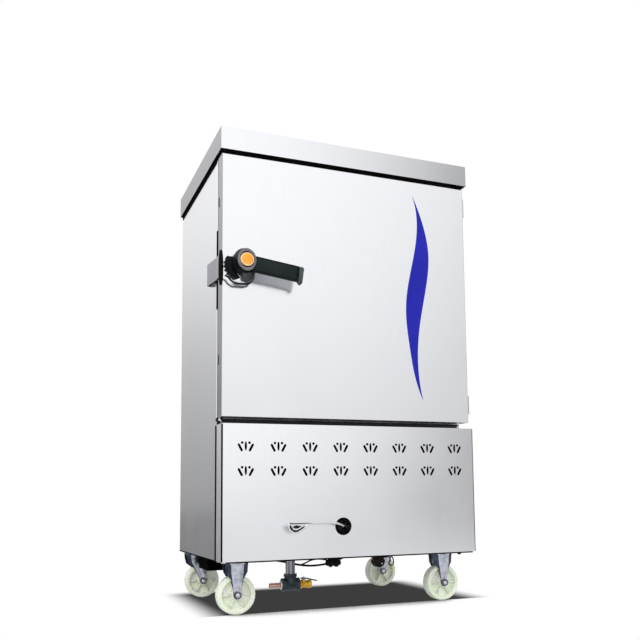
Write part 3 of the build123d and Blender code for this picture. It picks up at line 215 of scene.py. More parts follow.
def moulded(name, dark, light, rough=0.42, grain=0.8, depth=0.04, sheen=0.5):
    """Moulded nylon, ABS or polyamide: even colour with a fine spark-eroded texture."""
    material, tree, shader, place = finish_base(name, rough)
    shader.inputs["Specular IOR Level"].default_value = sheen
    texture = speckle(tree, place, grain, 3)
    wear = speckle(tree, place, 30, 3)
    spread = between(tree, wear, rough - 0.06, rough + 0.08)
    coat(tree, shader, two_tones(tree, wear, dark, light), spread)
    relief(tree, shader, texture, depth, 0.4)
    return material


def wheel_nylon():
    """Cast nylon of the castor wheels: pale green-white, a little see-through, with flow marks."""
    material, tree, shader, place = finish_base("cast nylon", 0.34)
    flow = speckle(tree, place, 26, 3)
    coat(tree, shader, two_tones(tree, flow, "#E8F1D8", "#F7FBF1"), between(tree, flow, 0.28, 0.42))
    shader.inputs["Subsurface Weight"].default_value = 0.35
    shader.inputs["Subsurface Radius"].default_value = (0.006, 0.007, 0.004)
    shader.inputs["Subsurface Scale"].default_value = 1.0
    relief(tree, shader, speckle(tree, place, 3, 2), 0.05, 0.3)
    return material


def foam_rubber(name, dark, light):
    """Extruded silicone or EPDM strip: matt, with a faint bloom and extrusion lines."""
    material, tree, shader, place = finish_base(name, 0.6)
    bloom = speckle(tree, place, 18, 3)
    coat(tree, shader, two_tones(tree, bloom, dark, light), between(tree, bloom, 0.5, 0.72))
    relief(tree, shader, speckle(tree, place, 1.0, 2), 0.05, 0.3)
    return material


def mineral_wool():
    """Stone wool slab: matted yellow-brown fibres, far finer really than the 1.5 mm that they are drawn."""
    material, tree, shader, place = finish_base("mineral wool", 0.95)
    fibres = speckle(tree, place, 1.5, 5, (1, 6, 1))
    tree.links.new(two_tones(tree, fibres, "#8A7A48", "#C9B984", 0.35, 0.65), shader.inputs["Base Color"])
    shader.inputs["Sheen Weight"].default_value = 0.3
    relief(tree, shader, fibres, 1.0, 0.8)
    return material


def stripe_film():
    """Self-adhesive vinyl film in ultramarine: glossy, with a faint orange-peel of the glue."""
    material, tree, shader, place = finish_base("vinyl film", 0.28)
    shader.inputs["Specular IOR Level"].default_value = 0.25
    peel = speckle(tree, place, 6, 2)
    clouds = speckle(tree, place, 120, 2)
    coat(tree, shader, two_tones(tree, clouds, "#10169A", "#161DA6"), between(tree, peel, 0.22, 0.34))
    relief(tree, shader, peel, 0.01, 0.04)
    return material


# Satin stainless sheet, near white in the studio. The bowed ones shade softly as folded thin sheet does.
SHEET_TONES = ("#F4F5F9", "#FAFBFE")
STEEL = satin_steel("satin stainless sheet", *SHEET_TONES)
PANEL_STEEL = satin_steel(
    "vented panel sheet", *SHEET_TONES, bow=((0.0, 0.07), (0.02, 0.10, 0.14, 0.485), 0.2))
COVER_STEEL = satin_steel("cover sheet", *SHEET_TONES, bow=((0.03, 0.13), (0.0, 0.0, 1.2, 1.27), -0.42))
DOOR_STEEL = satin_steel("door sheet", *SHEET_TONES, bow=((0.0, 0.0), (0.0, 0.0, 0.5, 1.2), -0.4))
FRAME_STEEL = satin_steel(
    "front post sheet", "#E4E5E9", "#F0F1F4", (0.24, 0.34), bow=((0.0, 0.0), (0.0, 0.0, 0.0, 1.0), 0.2))
# Duller sheet: the chamber's, brushed sideways, and the greyer bracket that carries the keeper
INNER_STEEL = satin_steel("inner stainless sheet", "#D4D5D6", "#E4E5E6", (0.2, 0.32), (0.02, 1, 1))
BRACKET_STEEL = satin_steel("keeper bracket sheet", "#A3A4AC", "#B4B5BC", (0.25, 0.35))

FINISHES = {
    # Sheet and pressings: mirror-like where polished, cloudy where plated; the pipe's long dark streaks are
    # painted reflections
    "stainless_steel": STEEL,
    "steel_frame": satin_steel("frame sheet", "#D9D9DA", "#E6E6E6", (0.3, 0.42)),
    "tray_metal": satin_steel("pressed aluminium tray", "#D5D6D8", "#E6E7E8", (0.28, 0.42), (0.05, 1, 1)),
    # Painted reflection: dark streaks stretched along the pipe stand for reflections of its dark surroundings
    "pipe_steel": plated_steel("galvanised pipe, painted reflection streaks", "#34363F", "#E4E5EE", (0.15, 0.3), (1, 1, 0.02), 9),
    "copper": plated_steel("copper nipple", "#B47F6E", "#EDC4B2", (0.15, 0.3)),
    "castor_steel": plated_steel("castor pressing", "#A6ABBC", "#E9ECF6", (0.14, 0.3)),
    "zinc_steel": plated_steel("zinc bolt", "#DADDE4", "#F8F9FC", (0.15, 0.3)),
    "hook_steel": plated_steel("blackened hook pressing", "#1C1F22", "#3E4347", (0.25, 0.4)),
    "lever_steel": plated_steel("polished lever", "#D7DADD", "#F0F2F4", (0.1, 0.2)),
    # Castings: grainy skins, dull for iron and golden for brass
    "cast_iron": cast_metal("burner iron", "#26221F", "#3D3833", 0.62),
    "malleable_iron": cast_metal("malleable iron fitting", "#30383E", "#5A646B", 0.42, 0.8, 1.8, 0.2),
    "brass": cast_metal("forged brass", "#D79A22", "#FFD268", 0.26, 1.0, 1.2, 0.05),
    "dark_casting": moulded("painted solenoid casting", "#0D0607", "#2A181A", 0.5, 3.0, 0.6, 0.2),
    # Plastics and rubber: even colour and a low sheen
    "black_rubber": foam_rubber("black silicone strip", "#070707", "#121212"),
    "black_plastic": moulded("black polyamide", "#06090A", "#10171A", 0.42, sheen=0.12),
    "lead_sleeve": moulded("silicone lead sleeve", "#040405", "#0D0D0E", 0.5, 1.5, sheen=0.15),
    "dark_lever": moulded("dipped lever", "#181210", "#33291F", 0.5, sheen=0.25),
    "grey_plastic": moulded("grey polyamide", "#5C5C61", "#76767C", 0.38, sheen=0.3),
    "orange_plastic": moulded("orange cap plastic", "#F0982F", "#F8B24E", 0.35, sheen=0.3),
    "nylon": wheel_nylon(),
    "blue_film": stripe_film(),
    "mineral_wool": mineral_wool(),
}

# Looks of single pieces, where they differ from their slot's finish.
# On the latch: cream round the orange button, grey end cap, a pale liner that lightens the lever's reflection
# in the door as a painted reflection, chin mottled grey as painted highlights, smoother inlay
RIM_CREAM = moulded("cap rim plastic", "#EFC58C", "#F4D3A2", 0.35)
END_GREY = moulded("lever end plastic", "#2C3133", "#4E5456", 0.4, sheen=0.3)
# Painted reflection: a pale liner on the lever's back, seen only as a lighter reflection of the lever in the
# door
LINER_FOR_PAINTED_REFLECTION = moulded("pale lever liner for a painted reflection", "#E2E5E6", "#F1F3F4", 0.5)
# Painted highlights: the chin's coarse grey mottle stands for its highlights
CHIN_PAINTED_HIGHLIGHTS = moulded("chin plastic with painted highlights", "#15191B", "#4A5053", 0.35, 6.0, 1.2, sheen=0.4)
INLAY_BLACK = moulded("lever inlay", "#0E1718", "#172120", 0.3, sheen=0.2)
# Blacks, from glossy enamel to matt enamel and black strips of painted shade that swallow the light, and ribs
# grey with painted sheen
GRIP_ENAMEL = moulded("dark grip enamel", "#050607", "#15181B", 0.3, sheen=0.2)
GLOSS_BLACK = moulded("black box enamel", "#030304", "#0A0A0B", 0.35, sheen=0.12)
MATT_BLACK = moulded("matt black box enamel", "#020203", "#070708", 0.8, sheen=0.02)
# Painted shade in the gaps, under the cover and under the panels; also the real black rubber stop
SHADE_AND_STOP_BLACK = moulded("black of painted shade strips and rubber stop", "#020203", "#080809", 0.8, sheen=0.03)
# Painted sheen: the ribs' grey stands for their highlights
RIB_PAINTED_SHEEN = foam_rubber("silicone ribs with painted sheen", "#26262B", "#3C3C42")
# Metals: plating and folds under the cabinet darkened as painted shade, a bright dish, and near-black
# compartment sheet as painted shade
# Painted shade: axle bolts darkened as they sit in shade under the cabinet
SHADED_AXLE_STEEL = plated_steel("axle bolt plating in painted shade", "#474C5A", "#8F95A5", (0.2, 0.35))
# Painted shade: the fork wings and washers, darkened where the pressings face into shade
SHADED_PRESSING_STEEL = plated_steel("castor pressing in painted shade", "#1D2230", "#5B6275", (0.2, 0.35))
DISH_STEEL = plated_steel("polished dish", "#E4E6E8", "#FBFBFC", (0.12, 0.22))
# Painted shade: the water tank, burner and flue made near black so the compartment reads dark through the
# vents
SHADED_COMPARTMENT_STEEL = cast_metal("compartment sheet in painted shade", "#0B0A09", "#1C1A18", 0.7, 0.3)

NODE_LOOKS = {
    STEEL: ("body_hinge_leaves", "door_hinge_leaves"),
    PANEL_STEEL: ("lower_front_panel",),
    COVER_STEEL: ("top_cover",),
    DOOR_STEEL: ("door_skin",),
    FRAME_STEEL: ("base_frame",),
    BRACKET_STEEL: ("keeper_bracket",),
    INNER_STEEL: ("chamber_liner", "tray_racks", "door_inner_panel", "front_frame"),
    SHADED_COMPARTMENT_STEEL: ("water_tank", "burner", "flue_outlet"),
    MATT_BLACK: ("igniter_box",),
    SHADED_AXLE_STEEL: ("front_axle_bolts", "left_rear_axle_bolt", "right_rear_axle_bolt"),
}
slot_of = {part["node"]: part["material_slot"] for part in frame["record"]["subparts"]}
look_of = {node_name: look for look, node_names in NODE_LOOKS.items() for node_name in node_names}
for node_name, node in frame["nodes"].items():
    node.data.materials.clear()
    node.data.materials.append(look_of.get(node_name, FINISHES[slot_of[node_name]]))


def declare(piece, body, nodes=()):
    """Put a finished piece under its body, and hide the nodes that it stands for."""
    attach(piece, body)
    if nodes:
        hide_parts(*nodes)
    return piece


def keep(piece, body, slot, *nodes, look=None):
    piece.data.materials.clear()
    piece.data.materials.append(look or FINISHES[slot])
    return declare(piece, body, nodes)


def linked(name, data):
    """A new object in the scene."""
    piece = bpy.data.objects.new(name, data)
    bpy.context.scene.collection.objects.link(piece)
    return piece


def piece_from(name, mesh_maker, smooth=35):
    """An object whose mesh is drawn by a bmesh function, with its normals outwards."""
    mesh = bpy.data.meshes.new(name)
    shape = bmesh.new()
    mesh_maker(shape)
    bmesh.ops.remove_doubles(shape, verts=shape.verts, dist=1e-6)
    bmesh.ops.recalc_face_normals(shape, faces=shape.faces)
    shape.to_mesh(mesh)
    shape.free()
    piece = linked(name, mesh)
    if smooth:
        mesh.shade_smooth()
        mesh.set_sharp_from_angle(angle=math.radians(smooth))
    return piece


def baked(piece):
    """The piece with its modifiers applied as a plain mesh at the origin."""
    bpy.context.view_layer.update()
    graph = bpy.context.evaluated_depsgraph_get()
    mesh = bpy.data.meshes.new_from_object(piece.evaluated_get(graph))
    mesh.transform(piece.matrix_world)
    name = piece.name
    bpy.data.objects.remove(piece)
    return linked(name, mesh)


def rounded(piece, width, segments=2, angle=30):
    """Edges rounded by so many millimetres."""
    bevel = piece.modifiers.new("edge", "BEVEL")
    bevel.width = width / 1000
    bevel.segments = segments
    bevel.limit_method = "ANGLE"
    bevel.angle_limit = math.radians(angle)
    piece = baked(piece)
    piece.data.shade_smooth()
    piece.data.set_sharp_from_angle(angle=math.radians(40))
    return piece


def turn_profile(shape, profile, centre, axis, steps=48, squeeze=(1, 1)):
    """Spin a profile of (radius, distance along the axis) about an axis."""
    axis = Vector(axis)
    upright = abs(axis.z) > 0.9
    side = axis.orthogonal().normalized() if upright else axis.cross(Vector(UPWARDS)).normalized()
    up = side.cross(axis)
    rings = []
    for radius, along in profile:
        ring = []
        for step in range(steps):
            turn = 2 * math.pi * step / steps
            spoke = side * math.cos(turn) * squeeze[0] + up * math.sin(turn) * squeeze[1]
            ring.append(shape.verts.new(centre + (axis * along + spoke * radius) / 1000))
        rings.append(ring)
    for low, high in zip(rings, rings[1:]):
        for step in range(steps):
            after = (step + 1) % steps
            shape.faces.new((low[step], low[after], high[after], high[step]))
    for ring, radius in ((rings[0], profile[0][0]), (rings[-1], profile[-1][0])):
        if radius > 0:
            shape.faces.new(ring)


def extruded(shape, outline, front, depth):
    """An outline in X and Z, from its front face back by a depth."""
    near = [shape.verts.new(at(x, front, z)) for x, z in outline]
    far = [shape.verts.new(at(x, front + depth, z)) for x, z in outline]
    shape.faces.new(near)
    shape.faces.new(far)
    for i in range(len(outline)):
        j = (i + 1) % len(outline)
        shape.faces.new((near[i], near[j], far[j], far[i]))


def slab(shape, x, y, z):
    """A plain block between two ends on each axis."""
    corners = [shape.verts.new(at(a, b, c)) for a in x for b in y for c in z]
    for face in ((0, 1, 3, 2), (4, 6, 7, 5), (0, 4, 5, 1), (2, 3, 7, 6), (0, 2, 6, 4), (1, 5, 7, 3)):
        shape.faces.new([corners[i] for i in face])


def turned(name, profile, centre, axis, steps, squeeze=(1, 1), smooth=30):
    """A piece spun from one profile."""
    return piece_from(
        name, lambda shape: turn_profile(shape, profile, centre, axis, steps, squeeze), smooth)


def open_ends(piece):
    """Take away the closing faces of a ring whose profile already meets itself."""
    shape = bmesh.new()
    shape.from_mesh(piece.data)
    bmesh.ops.delete(shape, geom=[f for f in shape.faces if len(f.verts) > 4], context="FACES")
    bmesh.ops.recalc_face_normals(shape, faces=shape.faces)
    shape.to_mesh(piece.data)
    shape.free()
    return piece


def plate(name, outline, front, depth, edge, segments=2, angle=30):
    """A piece cut from an outline, with its edges rounded."""
    piece = piece_from(name, lambda shape: extruded(shape, outline, front, depth), 0)
    return rounded(piece, edge, segments, angle)


def smooth_tube(name, points, radius, order=3, resolution=12):
    """A round bar or lead on one smooth curve."""
    curve = bpy.data.curves.new(name, "CURVE")
    curve.dimensions = "3D"
    curve.bevel_depth = radius / 1000
    curve.bevel_resolution = 4
    curve.use_fill_caps = True
    curve.resolution_u = resolution
    spline = curve.splines.new("NURBS")
    spline.points.add(len(points) - 1)
    for point, place in zip(spline.points, points):
        point.co = (*at(*place), 1)
    spline.order_u = order
    spline.use_endpoint_u = True
    piece = baked(linked(name, curve))
    piece.data.shade_smooth()
    return piece


def group_tree(name, sizes):
    """A geometry tree with its named sizes."""
    tree = bpy.data.node_groups.new(name, "GeometryNodeTree")
    tree.interface.new_socket("Geometry", in_out="INPUT", socket_type="NodeSocketGeometry")
    for size, kind in sizes:
        tree.interface.new_socket(size, in_out="INPUT", socket_type=kind)
    tree.interface.new_socket("Geometry", in_out="OUTPUT", socket_type="NodeSocketGeometry")
    return tree, add(tree, "NodeGroupInput").outputs


def own_way(tree, axis):
    """The turn that brings an axis round to each point's own direction."""
    facing = add(tree, "GeometryNodeInputNamedAttribute", {"Name": "facing"}, data_type="FLOAT_VECTOR")
    return add(tree, "FunctionNodeAlignRotationToVector", {"Vector": facing.outputs[0]}, axis=axis)


def close_tree(tree, geometry, entry):
    """Realize the instances, give them the material and send them out."""
    real = add(tree, "GeometryNodeRealizeInstances", {"Geometry": geometry})
    shaded = add(tree, "GeometryNodeSetShadeSmooth", {"Geometry": real.outputs[0]})
    named = add(
        tree, "GeometryNodeSetMaterial", {"Geometry": shaded.outputs[0], "Material": entry["Material"]})
    add(tree, "NodeGroupOutput", {"Geometry": named.outputs[0]})


def head_tree():
    """Domed heads of screws or rivets, one on each point, facing along the point's own direction."""
    tree, entry = group_tree("domed heads", (
        ("Head radius", "NodeSocketFloat"), ("Head height", "NodeSocketFloat"),
        ("Material", "NodeSocketMaterial"),
    ))
    dome = add(tree, "GeometryNodeMeshUVSphere", {"Segments": 14, "Rings": 8, "Radius": 1.0})
    size = add(tree, "ShaderNodeCombineXYZ", {
        "X": entry["Head radius"], "Y": entry["Head radius"], "Z": entry["Head height"]})
    heads = add(tree, "GeometryNodeInstanceOnPoints", {
        "Points": entry["Geometry"], "Instance": dome.outputs[0],
        "Rotation": own_way(tree, "Z").outputs[0], "Scale": size.outputs[0],
    })
    close_tree(tree, heads.outputs[0], entry)
    return tree


def rib_tree():
    """Ribs set round an axis, as on the web of a wheel."""
    tree, entry = group_tree("ribs in a ring", (
        ("Count", "NodeSocketInt"), ("Ring radius", "NodeSocketFloat"), ("Rib", "NodeSocketVector"),
        ("Material", "NodeSocketMaterial"),
    ))
    circle = add(tree, "GeometryNodeMeshCircle", {"Vertices": entry["Count"], "Radius": entry["Ring radius"]})
    rib = add(tree, "GeometryNodeMeshCube", {"Size": entry["Rib"]})
    place = add(tree, "GeometryNodeInputPosition")
    turn = add(tree, "FunctionNodeAlignRotationToVector", {"Vector": place.outputs[0]}, axis="X")
    web = add(tree, "GeometryNodeInstanceOnPoints", {
        "Points": circle.outputs[0], "Instance": rib.outputs[0], "Rotation": turn.outputs[0],
    })
    webs = add(tree, "GeometryNodeInstanceOnPoints", {
        "Points": entry["Geometry"], "Instance": web.outputs[0], "Rotation": own_way(tree, "Z").outputs[0],
    })
    close_tree(tree, webs.outputs[0], entry)
    return tree


HEADS = head_tree()
RIBS = rib_tree()


def grown(name, tree, places, sizes, body, slot, look=None):
    """Run a tree on points, each with the way that it faces, and keep the mesh that it makes."""
    mesh = bpy.data.meshes.new(name)
    mesh.from_pydata([at(*place) for place, way in places], [], [])
    facing = mesh.attributes.new("facing", "FLOAT_VECTOR", "POINT")
    facing.data.foreach_set("vector", [v for place, way in places for v in way])
    piece = linked(name, mesh)
    modifier = piece.modifiers.new("grown", "NODES")
    modifier.node_group = tree
    values = dict(sizes, Material=look or FINISHES[slot])
    for item in tree.interface.items_tree:
        if item.in_out == "INPUT" and item.name in values:
            modifier[item.identifier] = values[item.name]
    return keep(baked(piece), body, slot, look=look)


def heads(name, places, radius, height, body, slot, look=None):
    """Domed heads of one size, each place with the way that it faces."""
    sizes = {"Head radius": radius / 1000, "Head height": height / 1000}
    return grown(name, HEADS, places, sizes, body, slot, look)


# Camera, fitted to the photograph's edges
PHOTO_WIDTH = 640
CAMERA_PLACE = (-827.7, -1984.3, 297.1)
CAMERA_YAW, CAMERA_PITCH, CAMERA_ROLL = 23.15, 6.154, -0.811
FOCUS_PIXELS, MIDDLE_PIXELS = 801.56, (360.0, 410.0)


def set_camera():
    data = bpy.data.cameras.new("camera")
    data.sensor_width = 36.0
    data.lens = FOCUS_PIXELS / PHOTO_WIDTH * data.sensor_width
    data.shift_x = (PHOTO_WIDTH / 2 - MIDDLE_PIXELS[0]) / PHOTO_WIDTH
    data.shift_y = (MIDDLE_PIXELS[1] - PHOTO_WIDTH / 2) / PHOTO_WIDTH
    data.clip_end = 60
    camera = linked("camera", data)
    yaw, pitch, roll = (math.radians(a) for a in (CAMERA_YAW, CAMERA_PITCH, CAMERA_ROLL))
    level = math.cos(pitch)
    forward = Vector((math.sin(yaw) * level, math.cos(yaw) * level, math.sin(pitch)))
    right = Vector((math.cos(yaw), -math.sin(yaw), 0))
    up = right.cross(forward)
    right, up = (
        right * math.cos(roll) + up * math.sin(roll), up * math.cos(roll) - right * math.sin(roll))
    turn = Matrix((right, up, -forward)).transposed().to_4x4()
    camera.matrix_world = Matrix.Translation(at(*CAMERA_PLACE)) @ turn
    bpy.context.scene.camera = camera


# Brightness of the studio in the steel, by the way that the reflection looks: (way, level)
LEFT_TO_RIGHT = (
    (-1.0, 1.0), (0.2, 1.0), (0.3, 0.98), (0.45, 0.88), (0.6, 0.56), (0.75, 0.3), (1.0, 0.2))
FRONT_RISE = (
    (-1.0, 0.5), (-0.1, 0.66), (0.0, 0.72), (0.12, 0.84), (0.3, 0.97), (0.4, 1.0), (0.6, 0.98), (1.0, 0.78))
BACK_RISE = ((-1.0, 0.26), (-0.05, 0.32), (0.12, 0.45), (0.37, 0.86), (0.6, 0.97), (1.0, 0.78))
STUDIO_LEVEL, PLAIN_LEVEL = 1.075, 0.72


def set_world():
    """White to the eye. Steel sees a studio that is white above and in front, and greyer elsewhere."""
    world = bpy.data.worlds.new("studio")
    world.use_nodes = True
    tree = world.node_tree
    tree.nodes.clear()
    way = add(tree, "ShaderNodeSeparateXYZ", {0: add(tree, "ShaderNodeTexCoord").outputs["Generated"]})
    across = graded(tree, way.outputs["X"], LEFT_TO_RIGHT)
    rise = graded(tree, way.outputs["Z"], FRONT_RISE)
    front = maths(tree, "MULTIPLY", across, rise)
    back = graded(tree, way.outputs["Z"], BACK_RISE)
    side = between(tree, way.outputs["Y"], 0.0, 1.0, -0.2, 0.3)
    steel = maths(tree, "MULTIPLY", blend(tree, "FLOAT", side, front, back), STUDIO_LEVEL)
    path = add(tree, "ShaderNodeLightPath").outputs
    lit = blend(tree, "FLOAT", path["Is Glossy Ray"], PLAIN_LEVEL, steel)
    clear = maths(tree, "MAXIMUM", path["Is Camera Ray"], path["Is Transmission Ray"])
    seen = blend(tree, "FLOAT", clear, lit, 1.0)
    glow = add(tree, "ShaderNodeBackground", {"Color": (1, 1, 1, 1), "Strength": seen})
    add(tree, "ShaderNodeOutputWorld", {"Surface": glow.outputs[0]})
    bpy.context.scene.world = world


# Lamps: place, aim and size in metres, power in watts
LAMPS = {
    "key": ((-2.4, -2.6, 2.6), (0, 0, 0.6), (2.4, 2.0), 70),
    "fill": ((2.6, -2.2, 1.2), (0, 0, 0.5), (2.0, 2.0), 25),
    "top": ((0, 0.2, 3.2), (0, 0, 0), (2.2, 2.2), 40),
}


def set_lamp(name, place, aim, size, power):
    data = bpy.data.lights.new(name, "AREA")
    data.shape = "RECTANGLE"
    data.size, data.size_y = size
    data.energy = power
    lamp = linked(name, data)
    lamp.location = place
    lamp.rotation_euler = (Vector(aim) - Vector(place)).to_track_quat("-Z", "Y").to_euler()
    lamp.visible_glossy = False


# Where the painted shadow under the cabinet fades in: axis, clear edge and dark edge in metres
PAINTED_SHADOW_EDGES = (("X", -0.41, -0.31), ("X", 0.475, 0.36), ("Y", -0.198, -0.178), ("Y", 0.41, 0.30))
FLOOR_CORNERS = ((-12, -9, 0), (12, -9, 0), (12, 15, 0), (-12, 15, 0))


def set_floor():
    """Pale floor that shows white, with a painted shadow under the cabinet: a footprint mask and an occlusion
    term darken its glow.
    """
    mesh = bpy.data.meshes.new("floor")
    mesh.from_pydata(FLOOR_CORNERS, [], [(0, 1, 2, 3)])
    floor = linked("floor", mesh)
    material = bpy.data.materials.new("pale floor")
    material.use_nodes = True
    tree = material.node_tree
    tree.nodes.clear()
    place = add(tree, "ShaderNodeSeparateXYZ", {0: add(tree, "ShaderNodeTexCoord").outputs["Object"]})
    # Painted shadow: the footprint mask and the occlusion term darken the floor's glow
    under = 1.0
    for axis, clear, dark in PAINTED_SHADOW_EDGES:
        edge = add(tree, "ShaderNodeMapRange", {
            "Value": place.outputs[axis], "From Min": clear, "From Max": dark,
        }, interpolation_type="SMOOTHSTEP").outputs[0]
        under = maths(tree, "MULTIPLY", under, edge)
    cover = add(tree, "ShaderNodeAmbientOcclusion", {"Distance": 0.35}, samples=24)
    near = between(tree, cover.outputs["AO"], 1.0, 0.0, 0.3, 0.52)
    shade = blend(tree, "RGBA", maths(tree, "MAXIMUM", under, near), (1, 1, 1, 1), hex_colour("#3D3D3D"))
    glow = add(tree, "ShaderNodeEmission", {"Color": shade, "Strength": 1.0})
    matt = add(tree, "ShaderNodeBsdfDiffuse", {"Color": hex_colour("#D8D8D8")})
    # Painted shade: seen in the steel, the floor glows darker towards the back
    painted_floor_reflection = add(
        tree, "ShaderNodeEmission", {"Strength": between(tree, place.outputs["Y"], 0.75, 0.24, -0.6, 0.8)})
    path = add(tree, "ShaderNodeLightPath")
    glossy = add(tree, "ShaderNodeMixShader", {
        0: path.outputs["Is Glossy Ray"], 1: matt.outputs[0], 2: painted_floor_reflection.outputs[0]})
    mixed = add(tree, "ShaderNodeMixShader", {
        0: path.outputs["Is Camera Ray"], 1: glossy.outputs[0], 2: glow.outputs[0]})
    add(tree, "ShaderNodeOutputMaterial", {"Surface": mixed.outputs[0]})
    floor.data.materials.append(material)


set_camera()
set_world()
for lamp_name, lamp in LAMPS.items():
    set_lamp(lamp_name, *lamp)
set_floor()
bpy.context.scene.view_settings.view_transform = "Standard"

# Castor wheels: turned rim and hub, six ribs on each face, and a steel bush
WHEEL_R = 50.0
FRONT_CASTOR, REAR_WHEEL, REAR_SWIVEL_X = (301, 84), (300, 500), 320
WHEEL_SIDE = (
    (6.2, 18.0), (10.8, 18.0), (12.0, 17.0), (13.4, 10.0), (15.5, 7.6), (35.0, 6.8), (37.2, 8.5),
    (38.2, 14.8), (39.4, 16.0), (46.5, 16.0), (49.2, 14.4), (50.0, 11.5),
)
BUSH_SIDE = ((6.15, 18.4), (8.4, 18.4), (8.6, 18.0))
RIB_SIZES = {"Count": 6, "Ring radius": 0.0245, "Rib": (0.027, 0.0034, 0.0074)}
RIB_DEPTH = 10.2


def two_sided(half):
    """A closed profile from the half of it that lies on one side of the middle."""
    profile = [(r, -a) for r, a in half] + [(r, a) for r, a in reversed(half)]
    return profile + profile[:1]


def nylon_wheel(name, x, y):
    centre = at(x, y, WHEEL_R)
    disc = open_ends(turned(name + "_disc", two_sided(WHEEL_SIDE), centre, TO_BACK, 72))
    keep(disc, name, "nylon", name)
    faces = [((x, y - RIB_DEPTH, WHEEL_R), TO_FRONT), ((x, y + RIB_DEPTH, WHEEL_R), TO_BACK)]
    grown(name + "_ribs", RIBS, faces, RIB_SIZES, name, "nylon")
    bush = open_ends(turned(name + "_bush", two_sided(BUSH_SIDE), centre, TO_BACK, 32))
    keep(bush, name, "zinc_steel")


for row, (wheel_x, wheel_y) in (("front", FRONT_CASTOR), ("rear", REAR_WHEEL)):
    for hand, side in (("left", -1), ("right", 1)):
        nylon_wheel(f"{hand}_{row}_wheel", side * wheel_x, wheel_y)

# Castor forks: pressed legs under a crown, with washers, the ends of the axles and a black disc of painted
# shade in each leg for its opening
LEG_FACE, LEG_RIDGE, WING_BACK = 21.4, 23.0, 12.5


def fork_leg(shape, x, axle_x, y, side, top):
    """One pressed leg: a creased face that narrows to the axle, with wings that fold back at the top. The
    wings take the second, darker material as painted shade.
    """
    face = side * LEG_FACE
    rows = (
        (top, 16.0, 29.0), (top - 12, 16.5, 30.0), (top - 30, 15.5, 28.5), (90.0, 13.0, 16.0),
        (70.0, 10.5, 11.5), (54.0, 9.0, 9.5), (45.0, 7.0, 7.4), (40.6, 2.5, 2.8),
    )
    lines = []
    for height, panel, wing in rows:
        middle = axle_x + (x - axle_x) * min(max((height - 55) / (top - 75), 0), 1)
        deep = side * WING_BACK if height > 95 else face - side * 2.0
        wing_y = face - side * 1.0 if height > top - 1 else deep
        line = [
            at(middle - wing, y + wing_y, height), at(middle - panel, y + face, height),
            at(middle, y + (side * LEG_RIDGE if height > 58 else face + side * 0.3), height),
            at(middle + panel, y + face, height), at(middle + wing, y + wing_y, height),
        ]
        lines.append([shape.verts.new(place) for place in line])
    for upper, lower in zip(lines, lines[1:]):
        for i in range(4):
            fold = shape.faces.new((upper[i], upper[i + 1], lower[i + 1], lower[i]))
            # Wings take material 1, the pressing in painted shade
            fold.material_index = 1 if i in (0, 3) else 0


def front_crown(shape, x):
    """The mounting plate and the boss under it."""
    slab(shape, (x - 46, x + 46), (52, 116), (137, 140))
    slab(shape, (x - 27, x + 27), (62.5, 105.5), (134.5, 137))


RACE_PROFILE = (
    (6.15, -2.6), (20, -2.6), (25.5, 0.2), (27, 3.2), (27, 5.6), (24.5, 7.6), (6.15, 7.6), (6.15, -2.6))


def rear_crown(shape, x):
    """The dished race that the fork turns on."""
    turn_profile(shape, RACE_PROFILE, at(x, REAR_WHEEL[1], 124), UPWARDS, 40)
    for face in [f for f in shape.faces if len(f.verts) > 4]:
        shape.faces.remove(face)


def fork_piece(name, x, axle_x, y, top, body, crown, nodes):
    """Both legs as one pressed piece, with the crown, the washers in painted shade, black discs of painted
    shade for the holes and the axle's end.
    """
    legs = piece_from(name, lambda shape: [fork_leg(shape, x, axle_x, y, side, top) for side in (-1, 1)], 0)
    wall = legs.modifiers.new("wall", "SOLIDIFY")
    wall.thickness = 0.0022
    wall.offset = 0
    legs = rounded(legs, 0.6, 2, 25)
    keep(rounded(piece_from(name + "_crown", lambda shape: crown(shape, x), 0), 0.8), body, "castor_steel")
    legs.data.materials.append(FINISHES["castor_steel"])
    legs.data.materials.append(SHADED_PRESSING_STEEL)
    hole_x = axle_x + (x - axle_x) * 0.7
    for side in (-1, 1):
        way = (0, side, 0)
        washer = [((axle_x, y + side * 22.9, WHEEL_R), way)]
        # Washers in the pressing's painted shade
        heads(f"{name}_washer_{side + 1}", washer, 10.5, 1.1, body, "castor_steel", SHADED_PRESSING_STEEL)
        # A black disc paints the shade of the leg's opening
        hole_shade = [((hole_x, y + side * LEG_RIDGE, 93), way)]
        heads(f"{name}_hole_{side + 1}", hole_shade, 3.2, 0.9, body, "castor_steel", GLOSS_BLACK)
    axle_end = [((axle_x, y - 28.4, WHEEL_R), TO_FRONT)]
    heads(f"{name}_axle_end", axle_end, 5.8, 1.6, body, "zinc_steel")
    declare(legs, body, nodes)


for hand, side in (("left", -1), ("right", 1)):
    front_x, front_y = side * FRONT_CASTOR[0], FRONT_CASTOR[1]
    stands_for = ("front_castor_forks",) if side > 0 else ()
    fork_piece(f"{hand}_front_fork", front_x, front_x, front_y, 137.0, "cabinet", front_crown, stands_for)
    fork_piece(
        f"{hand}_rear_fork", side * REAR_SWIVEL_X, side * REAR_WHEEL[0], REAR_WHEEL[1], 131.5,
        f"{hand}_rear_swivel", rear_crown, (f"{hand}_rear_castor_fork",))

